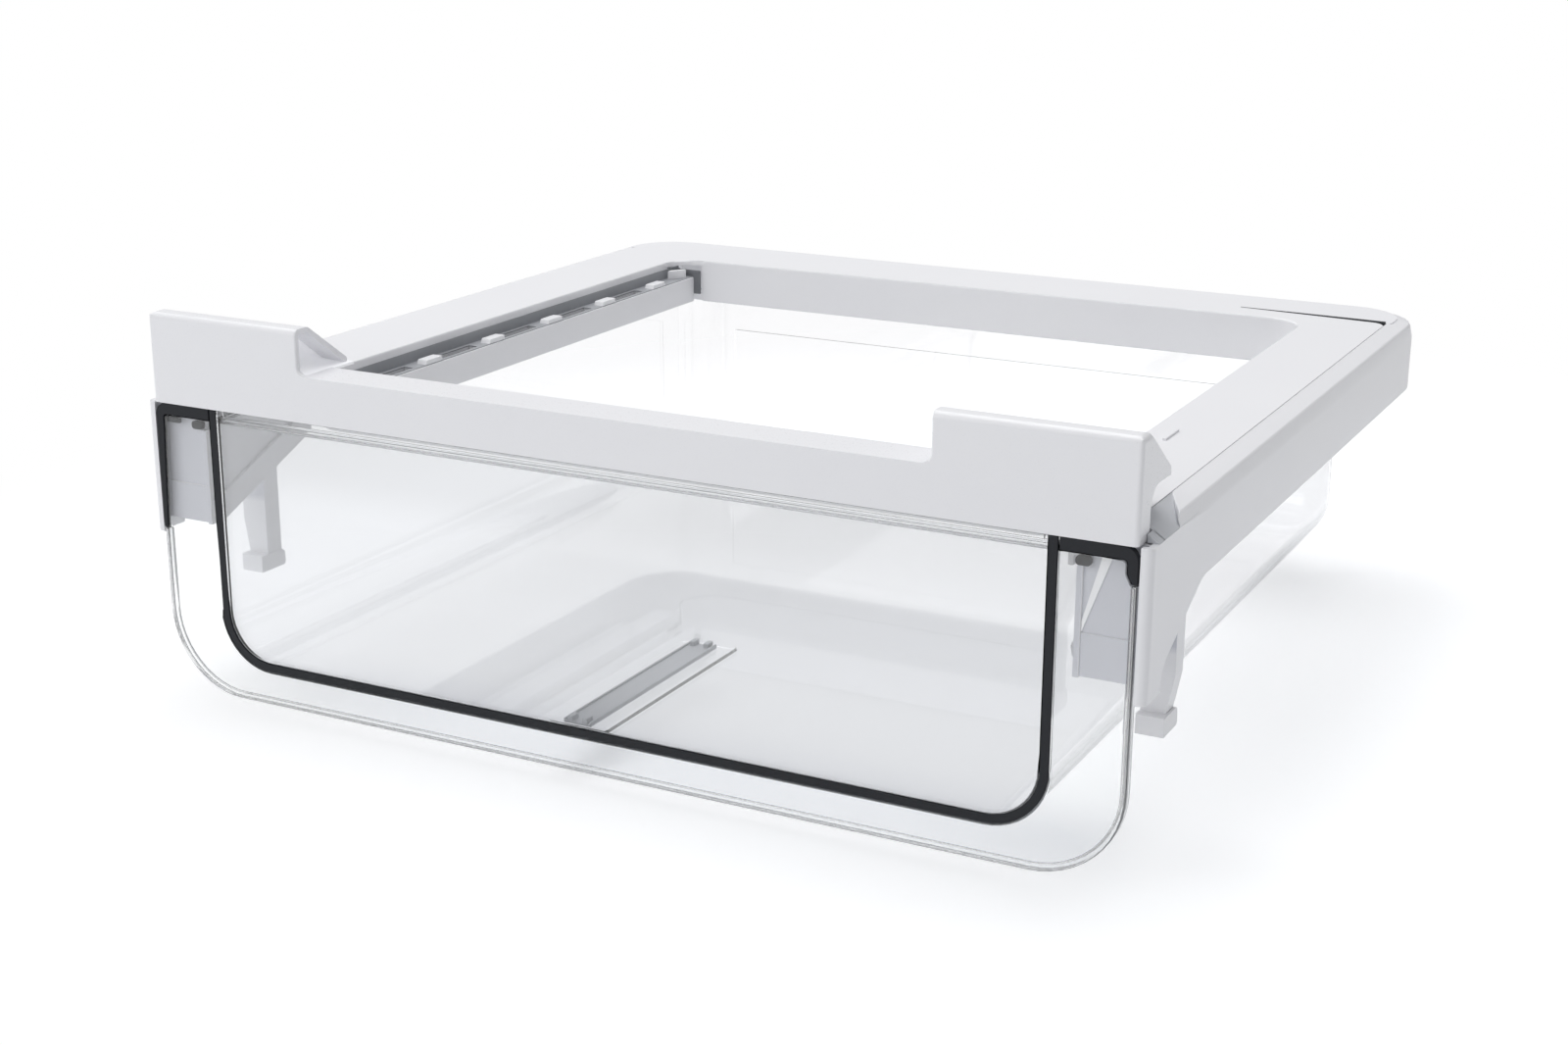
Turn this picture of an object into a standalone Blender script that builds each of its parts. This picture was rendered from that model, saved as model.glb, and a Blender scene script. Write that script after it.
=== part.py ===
"""Refrigerator drawer unit: a clear crisper drawer that slides in a moulded shelf frame.

Metres, +Z up. The origin is under the middle of the unit, on the plane of the front panel's lower edge.
Pieces are drawn from a datum at the fascia's lower front edge: X from the centre line, Y back, Z up.
"""

import math

import bmesh
import bpy
from mathutils import Matrix, Vector

# Whole unit
FRAME_WIDTH = 0.430
DEPTH = 0.4078
PANEL_DROP = 0.1237
CLEARANCE = 0.0003
WALL = 0.0024
THIN_WALL = 0.0022
ARC_STEPS = 9
EDGE_ROUND = 0.0006
OVERRUN = 0.002
FRAME_HALF_WIDTH = FRAME_WIDTH / 2

# Shelf frame: swept rim and skirt, back band, side plates
RIM_BAND = 0.0095
RIM_TOP = 0.0062
RIDGE_TOP = 0.0028
RIDGE_IN = 0.0004
SHOULDER_IN = 0.0016
SHOULDER_TOP = 0.0042
CHAMFER_DROP = 0.0022
SKIRT_DROP = 0.0268
REAR_RADIUS = 0.032
RIM_START_OUTSIDE = 0.029
RIM_START_INSIDE = 0.048
BAND_DEPTH = 0.0356
BAND_LAP = 0.002
SLIT_LENGTH = 0.0955
SLIT_SHIFT = 0.0042
SLIT_WIDTH = 0.0018
PLATE_DROP = 0.056
PLATE_FOOT_DEPTH = 0.017
PLATE_NECK_DEPTH = 0.0185
PLATE_NECK_DROP = 0.047
PLATE_SWEEP_DEPTH = 0.060
PLATE_SWEEP_RADIUS = 0.018
PLATE_FRONT = 0.0008
PLATE_CORNER_RADIUS = 0.0032
PLATE_TOP = -CLEARANCE
SEAM = FRAME_HALF_WIDTH - RIM_BAND
BAND_START = DEPTH - BAND_DEPTH
BAND_RADIUS = REAR_RADIUS - RIM_BAND + BAND_LAP
SLIT_START = SEAM - SLIT_LENGTH

# Deck: window, side walls and window walls
DECK_TOP = 0.0065
DECK_START = 0.0125
DECK_SIDE_DROP = 0.0100
DECK_REAR_RADIUS = 0.006
LEFT_DECK_WIDTH = 0.0397
RIGHT_DECK_WIDTH = 0.0343
FRONT_DECK_DEPTH = 0.0335
REAR_DECK_DEPTH = 0.0194
WINDOW_RADIUS = 0.016
WINDOW_WALL_DROP = 0.0152
REAR_WALL_SHORT = 0.0135
DECK_RIB_IN = 0.0243
DECK_RIB_START = 0.112
DECK_RIB_LENGTH = 0.016
DECK_RIB_WIDTH = 0.0014
DECK_RIB_HEIGHT = 0.0009
LEFT_WALL_SHORT = 0.0128
DECK_HALF_WIDTH = SEAM - CLEARANCE
WINDOW_LEFT = DECK_HALF_WIDTH - LEFT_DECK_WIDTH
WINDOW_RIGHT = DECK_HALF_WIDTH - RIGHT_DECK_WIDTH
WINDOW_START = DECK_START + FRONT_DECK_DEPTH
WINDOW_END = BAND_START - REAR_DECK_DEPTH

# Channel and clips for the pane
CHANNEL_WIDTH = 0.0098
CHANNEL_TOP = -0.0022
CLIP_COUNT = 5
CLIP_FRONT_MARGIN = 0.070
CLIP_REAR_MARGIN = 0.040
CLIP_LENGTH = 0.018
CLIP_WIDTH = 0.0052
CLIP_HEIGHT = 0.0030
CLIP_SET_IN = 0.0005
SLOT_BRIDGE = 0.0011
SLOT_WIDTH = 0.0050
CORNER_CLIP_LEG = 0.009
CORNER_CLIP_HEIGHT = 0.0046
CORNER_CLIP_THICKNESS = 0.0018
CHANNEL_IN = WINDOW_LEFT - CHANNEL_WIDTH
CLIP_FIRST = WINDOW_START + CLIP_FRONT_MARGIN
CLIP_SPACING = (WINDOW_END - CLIP_REAR_MARGIN - CLIP_FIRST) / (CLIP_COUNT - 1)
SLOT_LENGTH = CLIP_SPACING - CLIP_LENGTH - SLOT_BRIDGE * 2

# Front panel with its band and corner strips
PANEL_SIDE_GAP = 0.0048
PANEL_FRONT = 0.0005
PANEL_THICKNESS = 0.0028
PANEL_RADIUS = 0.035
PANEL_CORNER_RADIUS = 0.005
PANEL_RIM_DEPTH = 0.0050
PANEL_RIM_WALL = 0.0022
TONGUE_INSET = 0.0056
TONGUE_THICKNESS = 0.0020
TONGUE_TOP = 0.010
TONGUE_DROP = 0.0032
U_BAND_WIDTH = 0.0033
U_BAND_THICKNESS = 0.0014
STRIP_HEIGHT = 0.0049
STRIP_WIDTH = 0.0036
STRIP_END_WIDTH = 0.0017
STRIP_LEFT_DROP = 0.0536
STRIP_RIGHT_DROP = 0.0134
BUFFER_OUT = 0.0084
BUFFER_DROP = 0.0082
BUFFER_WIDTH = 0.0056
BUFFER_HEIGHT = 0.0034
BUFFER_SHARE = 0.7
STRIP_HOOK_DROP = 0.0084
STRIP_HOOK_HEIGHT = 0.0018
STRIP_HOOK_LENGTH = 0.0056
STRIP_HOOK_RISE = 0.0044
STRIP_HOOK_DEPTH = 0.0012
PANEL_HALF_WIDTH = FRAME_HALF_WIDTH - PANEL_SIDE_GAP
PANEL_BACK = PANEL_FRONT + PANEL_THICKNESS
PANEL_RIM_BACK = PANEL_FRONT + PANEL_RIM_DEPTH

# Drawer bin
BIN_SIDE_GAP = 0.0330
BIN_REAR_GAP = 0.0068
BIN_BOTTOM_GAP = 0.0146
BIN_TOP_GAP = 0.0024
BIN_RADIUS = 0.0235
BIN_WALL = 0.0024
BIN_RIM_TOP = -0.0039
BIN_FLANGE = 0.0050
BIN_FLANGE_THICKNESS = 0.0022
BIN_FLANGE_SHORT = 0.0250
BIN_FRONT_LIP = 0.0055
BIN_STEP_DROP = 0.0395
BIN_STEP = 0.0010
BIN_PAD_HEIGHT = 0.0008
BIN_PAD_MARGIN = 0.0070
BIN_HALF_WIDTH = FRAME_HALF_WIDTH - BIN_SIDE_GAP
BIN_FRONT = PANEL_BACK + CLEARANCE
BIN_BACK = DEPTH - BIN_REAR_GAP
BIN_DROP = PANEL_DROP - BIN_BOTTOM_GAP
BIN_FLOOR = -BIN_DROP + BIN_WALL
BIN_BACK_TOP = -WINDOW_WALL_DROP - BIN_TOP_GAP
BIN_FLANGE_END = BIN_BACK - BIN_FLANGE_SHORT
BUFFER_X = BIN_HALF_WIDTH + BUFFER_OUT
TONGUE_HALF_WIDTH = BIN_HALF_WIDTH - TONGUE_INSET

# Side brackets with their legs and feet
WEB_GAP = 0.0012
WEB_TOP_DROP = 0.0005
WEB_DROP = 0.0506
WEB_STEP_DROP = 0.0344
WEB_STEP = 0.0006
GUSSET_LOW_DEPTH = 0.0115
GUSSET_END = 0.0709
GUSSET_END_DROP = 0.0253
GUSSET_TOP_GAP = 0.0004
BRACE_WIDTH = 0.0050
BRACE_STEP = 0.0016
BRACE_LIFT = 0.0066
DIAGONAL_WIDTH = 0.0042
LEG_OFFSET = 0.0101
LEG_WIDTH = 0.0122
LEG_START = 0.050
LEG_THICKNESS = 0.009
LEG_NECK = 0.0032
LEG_NECK_TOP_DROP = 0.062
FOOT_DROP = 0.0842
FOOT_HEIGHT = 0.0075
FOOT_TOE = 0.0045
FOOT_HEEL = 0.002
FOOT_SIDE_STEP = 0.0016
FOOT_RADIUS = 0.0030
BRACKET_IN = BIN_HALF_WIDTH + BIN_FLANGE + CLEARANCE * 2
WEB_FRONT = PANEL_RIM_BACK + WEB_GAP
WEB_TOP = PLATE_TOP - WEB_TOP_DROP
GUSSET_TOP_DROP = DECK_SIDE_DROP + GUSSET_TOP_GAP
LEG_IN = BRACKET_IN + LEG_OFFSET
LEG_OUT = LEG_IN + LEG_WIDTH
LEG_END = LEG_START + LEG_THICKNESS
FOOT_TOP_DROP = FOOT_DROP - FOOT_HEIGHT
FOOT_OUT = LEG_OUT - FOOT_SIDE_STEP
FOOT_START = LEG_START - FOOT_TOE
FOOT_END = LEG_END + FOOT_HEEL

# Rails under the deck
RAIL_SIDE_GAP = 0.0008
RAIL_LIP_DROP = 0.0060
RAIL_STOP_LENGTH = 0.0100
RAIL_STOP_HEIGHT = 0.0050
RAIL_IN = BIN_HALF_WIDTH + RAIL_SIDE_GAP
RAIL_TOP = BIN_RIM_TOP - BIN_FLANGE_THICKNESS - CLEARANCE
RAIL_START = WEB_FRONT + THIN_WALL + CLEARANCE * 2
RAIL_END = BIN_FLANGE_END + RAIL_STOP_LENGTH

# Fascia: front wall, grip flange, two raised ends with sloped wings
FASCIA_SIDE_GAP = 0.0048
FASCIA_MIDDLE_HEIGHT = 0.0187
FASCIA_END_HEIGHT = 0.0372
FASCIA_END_LENGTH = 0.0748
FASCIA_FILLET = 0.004
FASCIA_CORNER = 0.0026
FASCIA_SIDE_ROUND = 0.0018
FASCIA_FLANGE_DEPTH = 0.020
FASCIA_TOP_DEPTH = 0.008
WING_TIP_DEPTH = 0.0365
WING_TIP_HEIGHT = 0.0168
WING_TIP_RADIUS = 0.0022
WING_UNDERCUT_HEIGHT = 0.0172
WING_UNDERCUT_RADIUS = 0.0075
FASCIA_DECK_GAP = 0.0010
FASCIA_HALF_WIDTH = FRAME_HALF_WIDTH - FASCIA_SIDE_GAP
FASCIA_END_START = FASCIA_HALF_WIDTH - FASCIA_END_LENGTH
WING_UNDERCUT_DEPTH = DECK_START - FASCIA_DECK_GAP

# Strip on the drawer floor
FLOOR_STRIP_OFFSET = -0.01165
FLOOR_STRIP_WIDTH = 0.0123
FLOOR_STRIP_END = 0.106
FLOOR_STRIP_BASE = 0.0009
FLOOR_STRIP_EDGE = 0.0009
FLOOR_STRIP_HEIGHT = 0.0018
FLOOR_HOOK_LENGTH = 0.0045
FLOOR_HOOK_HEIGHT = 0.0030
FLOOR_HOOK_WIDTH = 0.0022
FLOOR_STRIP_LEFT = FLOOR_STRIP_OFFSET - FLOOR_STRIP_WIDTH / 2
FLOOR_STRIP_RIGHT = FLOOR_STRIP_OFFSET + FLOOR_STRIP_WIDTH / 2

WHITE = ("white_abs_plastic", (0.87, 0.88, 0.90), 0.32, 1.0)
CLEAR = ("clear_polystyrene", (0.93, 0.95, 0.96), 0.04, 0.25)
DARK = ("charcoal_soft_trim", (0.03, 0.032, 0.036), 0.42, 1.0)
GREY = ("grey_translucent_plastic", (0.62, 0.63, 0.65), 0.30, 0.7)


def clear_scene():
    for obj in list(bpy.data.objects):
        bpy.data.objects.remove(obj, do_unlink=True)


def new_collection(name, hidden=False):
    made = bpy.data.collections.new(name)
    bpy.context.scene.collection.children.link(made)
    made.hide_render = hidden
    return made


def new_origin(name):
    """An empty at the datum: the fascia's lower front edge on the centre line."""
    empty = bpy.data.objects.new(name, None)
    empty.location = (0, -DEPTH / 2, PANEL_DROP)
    PARTS.objects.link(empty)
    return empty


def material(look):
    name, colour, roughness, alpha = look
    made = bpy.data.materials.get(name)
    if made:
        return made
    made = bpy.data.materials.new(name)
    made.use_nodes = True
    shader = made.node_tree.nodes["Principled BSDF"]
    shader.inputs["Base Color"].default_value = (*colour, 1)
    shader.inputs["Roughness"].default_value = roughness
    shader.inputs["Metallic"].default_value = 0
    shader.inputs["Alpha"].default_value = alpha
    return made


def rounded(points, closed=True, steps=ARC_STEPS):
    """The outline with each (u, v, radius) corner turned into an arc."""
    outline = []
    for index, point in enumerate(points):
        corner = Vector(point[:2])
        radius = point[2] if len(point) > 2 else 0
        if not radius or (not closed and index in (0, len(points) - 1)):
            outline.append(corner)
            continue
        before = (Vector(points[index - 1][:2]) - corner).normalized()
        after = (Vector(points[(index + 1) % len(points)][:2]) - corner).normalized()
        half = before.angle(after) / 2
        centre = corner + (before + after).normalized() * (radius / math.sin(half))
        first = corner + before * (radius / math.tan(half)) - centre
        last = corner + after * (radius / math.tan(half)) - centre
        start = math.atan2(first.y, first.x)
        turn = (math.atan2(last.y, last.x) - start + math.pi) % (2 * math.pi) - math.pi
        for step in range(steps + 1):
            angle = start + turn * step / steps
            outline.append(centre + Vector((math.cos(angle), math.sin(angle))) * radius)
    return outline


def rectangle(left, low, right, high, radius=0):
    corners = ((left, low), (right, low), (right, high), (left, high))
    return rounded([(*corner, radius) for corner in corners])


def mirrored(points):
    return [(-point[0], *point[1:]) for point in points]


def snap(shape):
    """Puts the points on a micron grid, so that faces meant to be flush are, and turns the faces outwards."""
    for vertex in shape.verts:
        vertex.co = [round(value, 6) for value in vertex.co]
    bmesh.ops.recalc_face_normals(shape, faces=shape.faces)


def to_mesh(curve_object, name, origin, merge=1e-6):
    """A mesh object from a curve, with its caps welded and its faces turned outwards."""
    bpy.context.view_layer.update()
    graph = bpy.context.evaluated_depsgraph_get()
    mesh = bpy.data.meshes.new_from_object(curve_object.evaluated_get(graph))
    mesh.transform(curve_object.matrix_world)
    bpy.data.objects.remove(curve_object, do_unlink=True)
    shape = bmesh.new()
    shape.from_mesh(mesh)
    bmesh.ops.remove_doubles(shape, verts=shape.verts, dist=merge)
    bmesh.ops.dissolve_degenerate(shape, edges=shape.edges, dist=merge)
    snap(shape)
    shape.to_mesh(mesh)
    shape.free()
    mesh.name = name
    made = bpy.data.objects.new(name, mesh)
    made.parent = origin
    CUTTERS.objects.link(made)
    return made


def new_curve(name, outlines, dimensions, cyclic):
    data = bpy.data.curves.new(name, "CURVE")
    data.dimensions = dimensions
    for outline in outlines:
        spline = data.splines.new("POLY")
        spline.points.add(len(outline) - 1)
        for target, point in zip(spline.points, outline):
            target.co = (point[0], point[1], 0, 1)
        spline.use_cyclic_u = cyclic
    made = bpy.data.objects.new(name, data)
    CUTTERS.objects.link(made)
    return made


def plate(name, origin, axis, low, high, *outlines):
    """A flat outline, with any holes, extruded along an axis from low to high."""
    low, high = min(low, high), max(low, high)
    made = new_curve(name, outlines, "2D", True)
    made.data.fill_mode = "BOTH"
    made.data.extrude = (high - low) / 2
    columns = {
        "X": ((0, 1, 0), (0, 0, 1), (1, 0, 0)),
        "Y": ((1, 0, 0), (0, 0, 1), (0, -1, 0)),
        "Z": ((1, 0, 0), (0, 1, 0), (0, 0, 1)),
    }[axis]
    turn = Matrix(columns).transposed().to_4x4()
    along = Vector((axis == "X", axis == "Y", axis == "Z"))
    made.matrix_world = Matrix.Translation(along * (low + high) / 2) @ turn
    return to_mesh(made, name, origin)


def block(name, origin, low, high):
    """A box between two corners."""
    low, high = Vector(map(min, low, high)), Vector(map(max, low, high))
    shape = bmesh.new()
    size = Matrix.Diagonal((*(high - low), 1))
    bmesh.ops.create_cube(shape, size=1, matrix=Matrix.Translation((low + high) / 2) @ size)
    mesh = bpy.data.meshes.new(name)
    shape.to_mesh(mesh)
    shape.free()
    made = bpy.data.objects.new(name, mesh)
    made.parent = origin
    CUTTERS.objects.link(made)
    return made


def sweep(name, origin, profile, path):
    """A closed profile, as (right of the way ahead, up), carried along an open path in plan."""
    section = new_curve(name + "_section", [profile], "2D", True)
    made = new_curve(name, [path], "3D", False)
    made.data.twist_mode = "Z_UP"
    made.data.bevel_mode = "OBJECT"
    made.data.bevel_object = section
    made.data.use_fill_caps = True
    swept = to_mesh(made, name, origin)
    bpy.data.objects.remove(section, do_unlink=True)
    return swept


def combine(target, operation, *others):
    for other in others:
        step = target.modifiers.new(other.name, "BOOLEAN")
        step.operation = operation
        step.solver = "EXACT"
        step.object = other
        other.hide_render = True
        other.display_type = "WIRE"
    return target


def cut_together(target, *others):
    """Takes several cutters away in one step, which keeps fine arcs clean where the cuts lie close."""
    group = new_collection(target.name + "_cuts", hidden=True)
    for other in others:
        group.objects.link(other)
        other.hide_render = True
        other.display_type = "WIRE"
    step = target.modifiers.new(group.name, "BOOLEAN")
    step.operation = "DIFFERENCE"
    step.solver = "EXACT"
    step.operand_type = "COLLECTION"
    step.collection = group
    return target


def soften(obj, width, segments=1, angle=50):
    step = obj.modifiers.new("rounded_edges", "BEVEL")
    step.width = width
    step.segments = segments
    step.limit_method = "ANGLE"
    step.angle_limit = math.radians(angle)
    return obj


def finish(obj, look):
    """Moves a shape into the parts, with its material and smooth shading."""
    CUTTERS.objects.unlink(obj)
    PARTS.objects.link(obj)
    obj.data.materials.append(material(look))
    obj.data.shade_smooth()
    obj.data.set_sharp_from_angle(angle=math.radians(35))
    return obj


def make_shelf_frame(origin):
    """Rim and skirt swept round three sides, the back band, and a thin plate at each front corner."""
    profile = [
        (0, -SKIRT_DROP),
        (0, -CHAMFER_DROP),
        (RIDGE_IN, RIDGE_TOP),
        (SHOULDER_IN, SHOULDER_TOP),
        (RIM_BAND, RIM_TOP),
        (RIM_BAND, RIM_TOP - WALL),
        (WALL + SHOULDER_IN, SHOULDER_TOP - WALL),
        (WALL, -CHAMFER_DROP),
        (WALL, -SKIRT_DROP),
    ]
    path = rounded(
        [
            (-FRAME_HALF_WIDTH, RIM_START_OUTSIDE),
            (-FRAME_HALF_WIDTH, DEPTH, REAR_RADIUS),
            (FRAME_HALF_WIDTH, DEPTH, REAR_RADIUS),
            (FRAME_HALF_WIDTH, RIM_START_OUTSIDE),
        ],
        closed=False,
        steps=ARC_STEPS + 2,
    )
    frame = sweep("shelf_frame", origin, profile, path)
    lap = SEAM + BAND_LAP
    slit_edge = SEAM - CLEARANCE
    band = rounded(
        [
            (-lap, BAND_START),
            (SLIT_START, BAND_START),
            (slit_edge, BAND_START - SLIT_SHIFT),
            (lap, BAND_START - SLIT_SHIFT),
            (lap, DEPTH - RIM_BAND + BAND_LAP, BAND_RADIUS),
            (-lap, DEPTH - RIM_BAND + BAND_LAP, BAND_RADIUS),
        ]
    )
    joined = [plate("back_band", origin, "Z", RIM_TOP - WALL, RIM_TOP, band)]
    side = rounded(
        [
            (PLATE_FRONT, PLATE_TOP),
            (PLATE_FRONT, -PLATE_DROP),
            (PLATE_FOOT_DEPTH, -PLATE_DROP),
            (PLATE_NECK_DEPTH, -PLATE_NECK_DROP, PLATE_FOOT_DEPTH / 2),
            (PLATE_SWEEP_DEPTH, -SKIRT_DROP, PLATE_SWEEP_RADIUS),
            (PLATE_SWEEP_DEPTH + PLATE_FOOT_DEPTH, -SKIRT_DROP),
            (PLATE_SWEEP_DEPTH + PLATE_FOOT_DEPTH, PLATE_TOP - WALL),
            (RIM_START_OUTSIDE + WALL, PLATE_TOP),
        ]
    )
    for name, sign in (("left", -1), ("right", 1)):
        outer, inner = sign * FRAME_HALF_WIDTH, sign * (FRAME_HALF_WIDTH - WALL)
        joined.append(plate(name + "_plate", origin, "X", inner, outer, side))
        flange = block(
            name + "_plate_flange",
            origin,
            (sign * (PANEL_HALF_WIDTH + CLEARANCE * 2), PLATE_FRONT, -PLATE_DROP),
            (outer, PLATE_FRONT + WALL, PLATE_TOP),
        )
        joined.append(flange)
    combine(frame, "UNION", *joined)
    for name, sign in (("left", -1), ("right", 1)):
        cut = plate(
            name + "_rim_end",
            origin,
            "Z",
            PLATE_TOP + CLEARANCE,
            RIM_TOP + OVERRUN,
            [
                (sign * (FRAME_HALF_WIDTH + OVERRUN), RIM_START_OUTSIDE - OVERRUN),
                (sign * FRAME_HALF_WIDTH, RIM_START_OUTSIDE),
                (sign * SEAM, RIM_START_INSIDE),
                (sign * (SEAM - OVERRUN), RIM_START_INSIDE),
                (sign * (SEAM - OVERRUN), RIM_START_OUTSIDE - OVERRUN),
            ],
        )
        side, front = sign * FRAME_HALF_WIDTH, PLATE_FRONT
        beyond, before = side + sign * OVERRUN, front - OVERRUN
        turn = sign * PLATE_CORNER_RADIUS
        arc = rounded(
            [(side - turn, front), (side, front, PLATE_CORNER_RADIUS), (side, front + PLATE_CORNER_RADIUS)],
            closed=False,
        )
        corner = plate(
            name + "_plate_corner",
            origin,
            "Z",
            -PLATE_DROP - OVERRUN,
            PLATE_TOP + OVERRUN,
            [(side - turn, before), *arc, (beyond, front + PLATE_CORNER_RADIUS), (beyond, before)],
        )
        combine(frame, "DIFFERENCE", cut, corner)
    return finish(frame, WHITE)


def window_outline(inset):
    """The window's edge in plan, drawn in by inset."""
    radius = WINDOW_RADIUS - inset
    return rounded(
        [
            (-WINDOW_LEFT + inset, WINDOW_START + inset, radius),
            (WINDOW_RIGHT - inset, WINDOW_START + inset, radius),
            (WINDOW_RIGHT - inset, WINDOW_END - inset, radius),
            (-WINDOW_LEFT + inset, WINDOW_END - inset, radius),
        ]
    )


def make_deck(origin):
    """Flat top with the pane window, a wall down each side and walls round the window."""
    half = DECK_HALF_WIDTH
    outer = rounded(
        [
            (-half, DECK_START),
            (half, DECK_START),
            (half, BAND_START - SLIT_SHIFT - SLIT_WIDTH, DECK_REAR_RADIUS),
            (SLIT_START, BAND_START - CLEARANCE),
            (-half, BAND_START - CLEARANCE, DECK_REAR_RADIUS),
        ]
    )
    deck = plate("deck", origin, "Z", DECK_TOP - WALL, DECK_TOP, outer, window_outline(0))
    wall_top = DECK_TOP - WALL / 2
    path = rounded(
        [
            (-WINDOW_LEFT + REAR_WALL_SHORT, WINDOW_END),
            (WINDOW_RIGHT, WINDOW_END, WINDOW_RADIUS),
            (WINDOW_RIGHT, WINDOW_START, WINDOW_RADIUS),
            (-WINDOW_LEFT, WINDOW_START, WINDOW_RADIUS),
            (-WINDOW_LEFT, WINDOW_END - LEFT_WALL_SHORT),
        ],
        closed=False,
    )
    section = [(0, -WINDOW_WALL_DROP), (0, wall_top), (-WALL, wall_top), (-WALL, -WINDOW_WALL_DROP)]
    joined = [sweep("window_wall", origin, section, path)]
    for name, sign in (("left", -1), ("right", 1)):
        wall = block(
            name + "_deck_wall",
            origin,
            (sign * half, DECK_START, -DECK_SIDE_DROP),
            (sign * (half - WALL), WINDOW_END, wall_top),
        )
        joined.append(wall)
    rib = block(
        "deck_rib",
        origin,
        (half - DECK_RIB_IN, DECK_RIB_START, wall_top),
        (half - DECK_RIB_IN + DECK_RIB_WIDTH, DECK_RIB_START + DECK_RIB_LENGTH, DECK_TOP + DECK_RIB_HEIGHT),
    )
    combine(deck, "UNION", *joined, rib)
    return finish(deck, WHITE)


def make_pane_channel(origin):
    """Slotted ledge along the window's left side, with the wall that drops from its inner edge."""
    outer = WINDOW_LEFT + OVERRUN
    ledge = rectangle(-outer, WINDOW_START - OVERRUN, -CHANNEL_IN, WINDOW_END + OVERRUN)
    slots = []
    for index in range(CLIP_COUNT):
        middle = CLIP_FIRST + CLIP_SPACING * (index - 1 / 2)
        left = -WINDOW_LEFT + WALL
        slots.append(rectangle(left, middle - SLOT_LENGTH / 2, left + SLOT_WIDTH, middle + SLOT_LENGTH / 2))
    channel = plate("pane_channel", origin, "Z", CHANNEL_TOP - WALL, CHANNEL_TOP, ledge, *slots)
    wall = block(
        "channel_wall",
        origin,
        (-CHANNEL_IN - THIN_WALL, WINDOW_START - OVERRUN, -WINDOW_WALL_DROP),
        (-CHANNEL_IN, WINDOW_END + OVERRUN, CHANNEL_TOP - WALL / 2),
    )
    room = plate(
        "channel_room",
        origin,
        "Z",
        -WINDOW_WALL_DROP - OVERRUN,
        CHANNEL_TOP + OVERRUN,
        window_outline(CLEARANCE),
    )
    combine(channel, "UNION", wall)
    combine(channel, "INTERSECT", room)
    return finish(channel, WHITE)


def make_pane_clips(origin):
    """Five low clips on the channel, under the pane's edge, and an angled clip in the rear corner."""
    low = CHANNEL_TOP + CLEARANCE
    for index in range(CLIP_COUNT):
        middle = CLIP_FIRST + CLIP_SPACING * index
        inner = -CHANNEL_IN - CLIP_SET_IN
        clip = block(
            f"pane_clip_{index + 1}",
            origin,
            (inner - CLIP_WIDTH, middle - CLIP_LENGTH / 2, low),
            (inner, middle + CLIP_LENGTH / 2, low + CLIP_HEIGHT),
        )
        soften(clip, EDGE_ROUND)
        finish(clip, WHITE)
    left = -WINDOW_LEFT + WINDOW_RADIUS / 6
    back = WINDOW_END - WINDOW_RADIUS / 2
    vee = [
        (left, back - CORNER_CLIP_LEG),
        (left + CORNER_CLIP_LEG / 2, back - CORNER_CLIP_LEG / 3),
        (left + CORNER_CLIP_LEG * 2 / 3, back),
        (left + CORNER_CLIP_LEG * 2 / 3 - CORNER_CLIP_THICKNESS, back),
        (left + CORNER_CLIP_LEG / 2 - CORNER_CLIP_THICKNESS, back - CORNER_CLIP_LEG / 3 + CORNER_CLIP_THICKNESS / 2),
        (left, back - CORNER_CLIP_LEG + CORNER_CLIP_THICKNESS * 2),
    ]
    finish(plate("corner_clip", origin, "Z", low, low + CORNER_CLIP_HEIGHT, vee), WHITE)


def make_rail(origin, name, sign):
    """Runner shelf under the drawer's flange, with a lip turned down inside and a stop at the rear."""
    outer = DECK_HALF_WIDTH - WALL - CLEARANCE
    section = [
        (sign * RAIL_IN, RAIL_TOP),
        (sign * outer, RAIL_TOP),
        (sign * outer, RAIL_TOP - THIN_WALL),
        (sign * (RAIL_IN + THIN_WALL), RAIL_TOP - THIN_WALL),
        (sign * (RAIL_IN + THIN_WALL), RAIL_TOP - RAIL_LIP_DROP),
        (sign * RAIL_IN, RAIL_TOP - RAIL_LIP_DROP),
    ]
    rail = plate(name, origin, "Y", RAIL_START, RAIL_END, section)
    stop = block(
        name + "_stop",
        origin,
        (sign * RAIL_IN, BIN_FLANGE_END + CLEARANCE, RAIL_TOP - THIN_WALL / 2),
        (sign * BRACKET_IN, RAIL_END, RAIL_TOP + RAIL_STOP_HEIGHT),
    )
    combine(rail, "UNION", stop)
    return finish(rail, WHITE)


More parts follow.
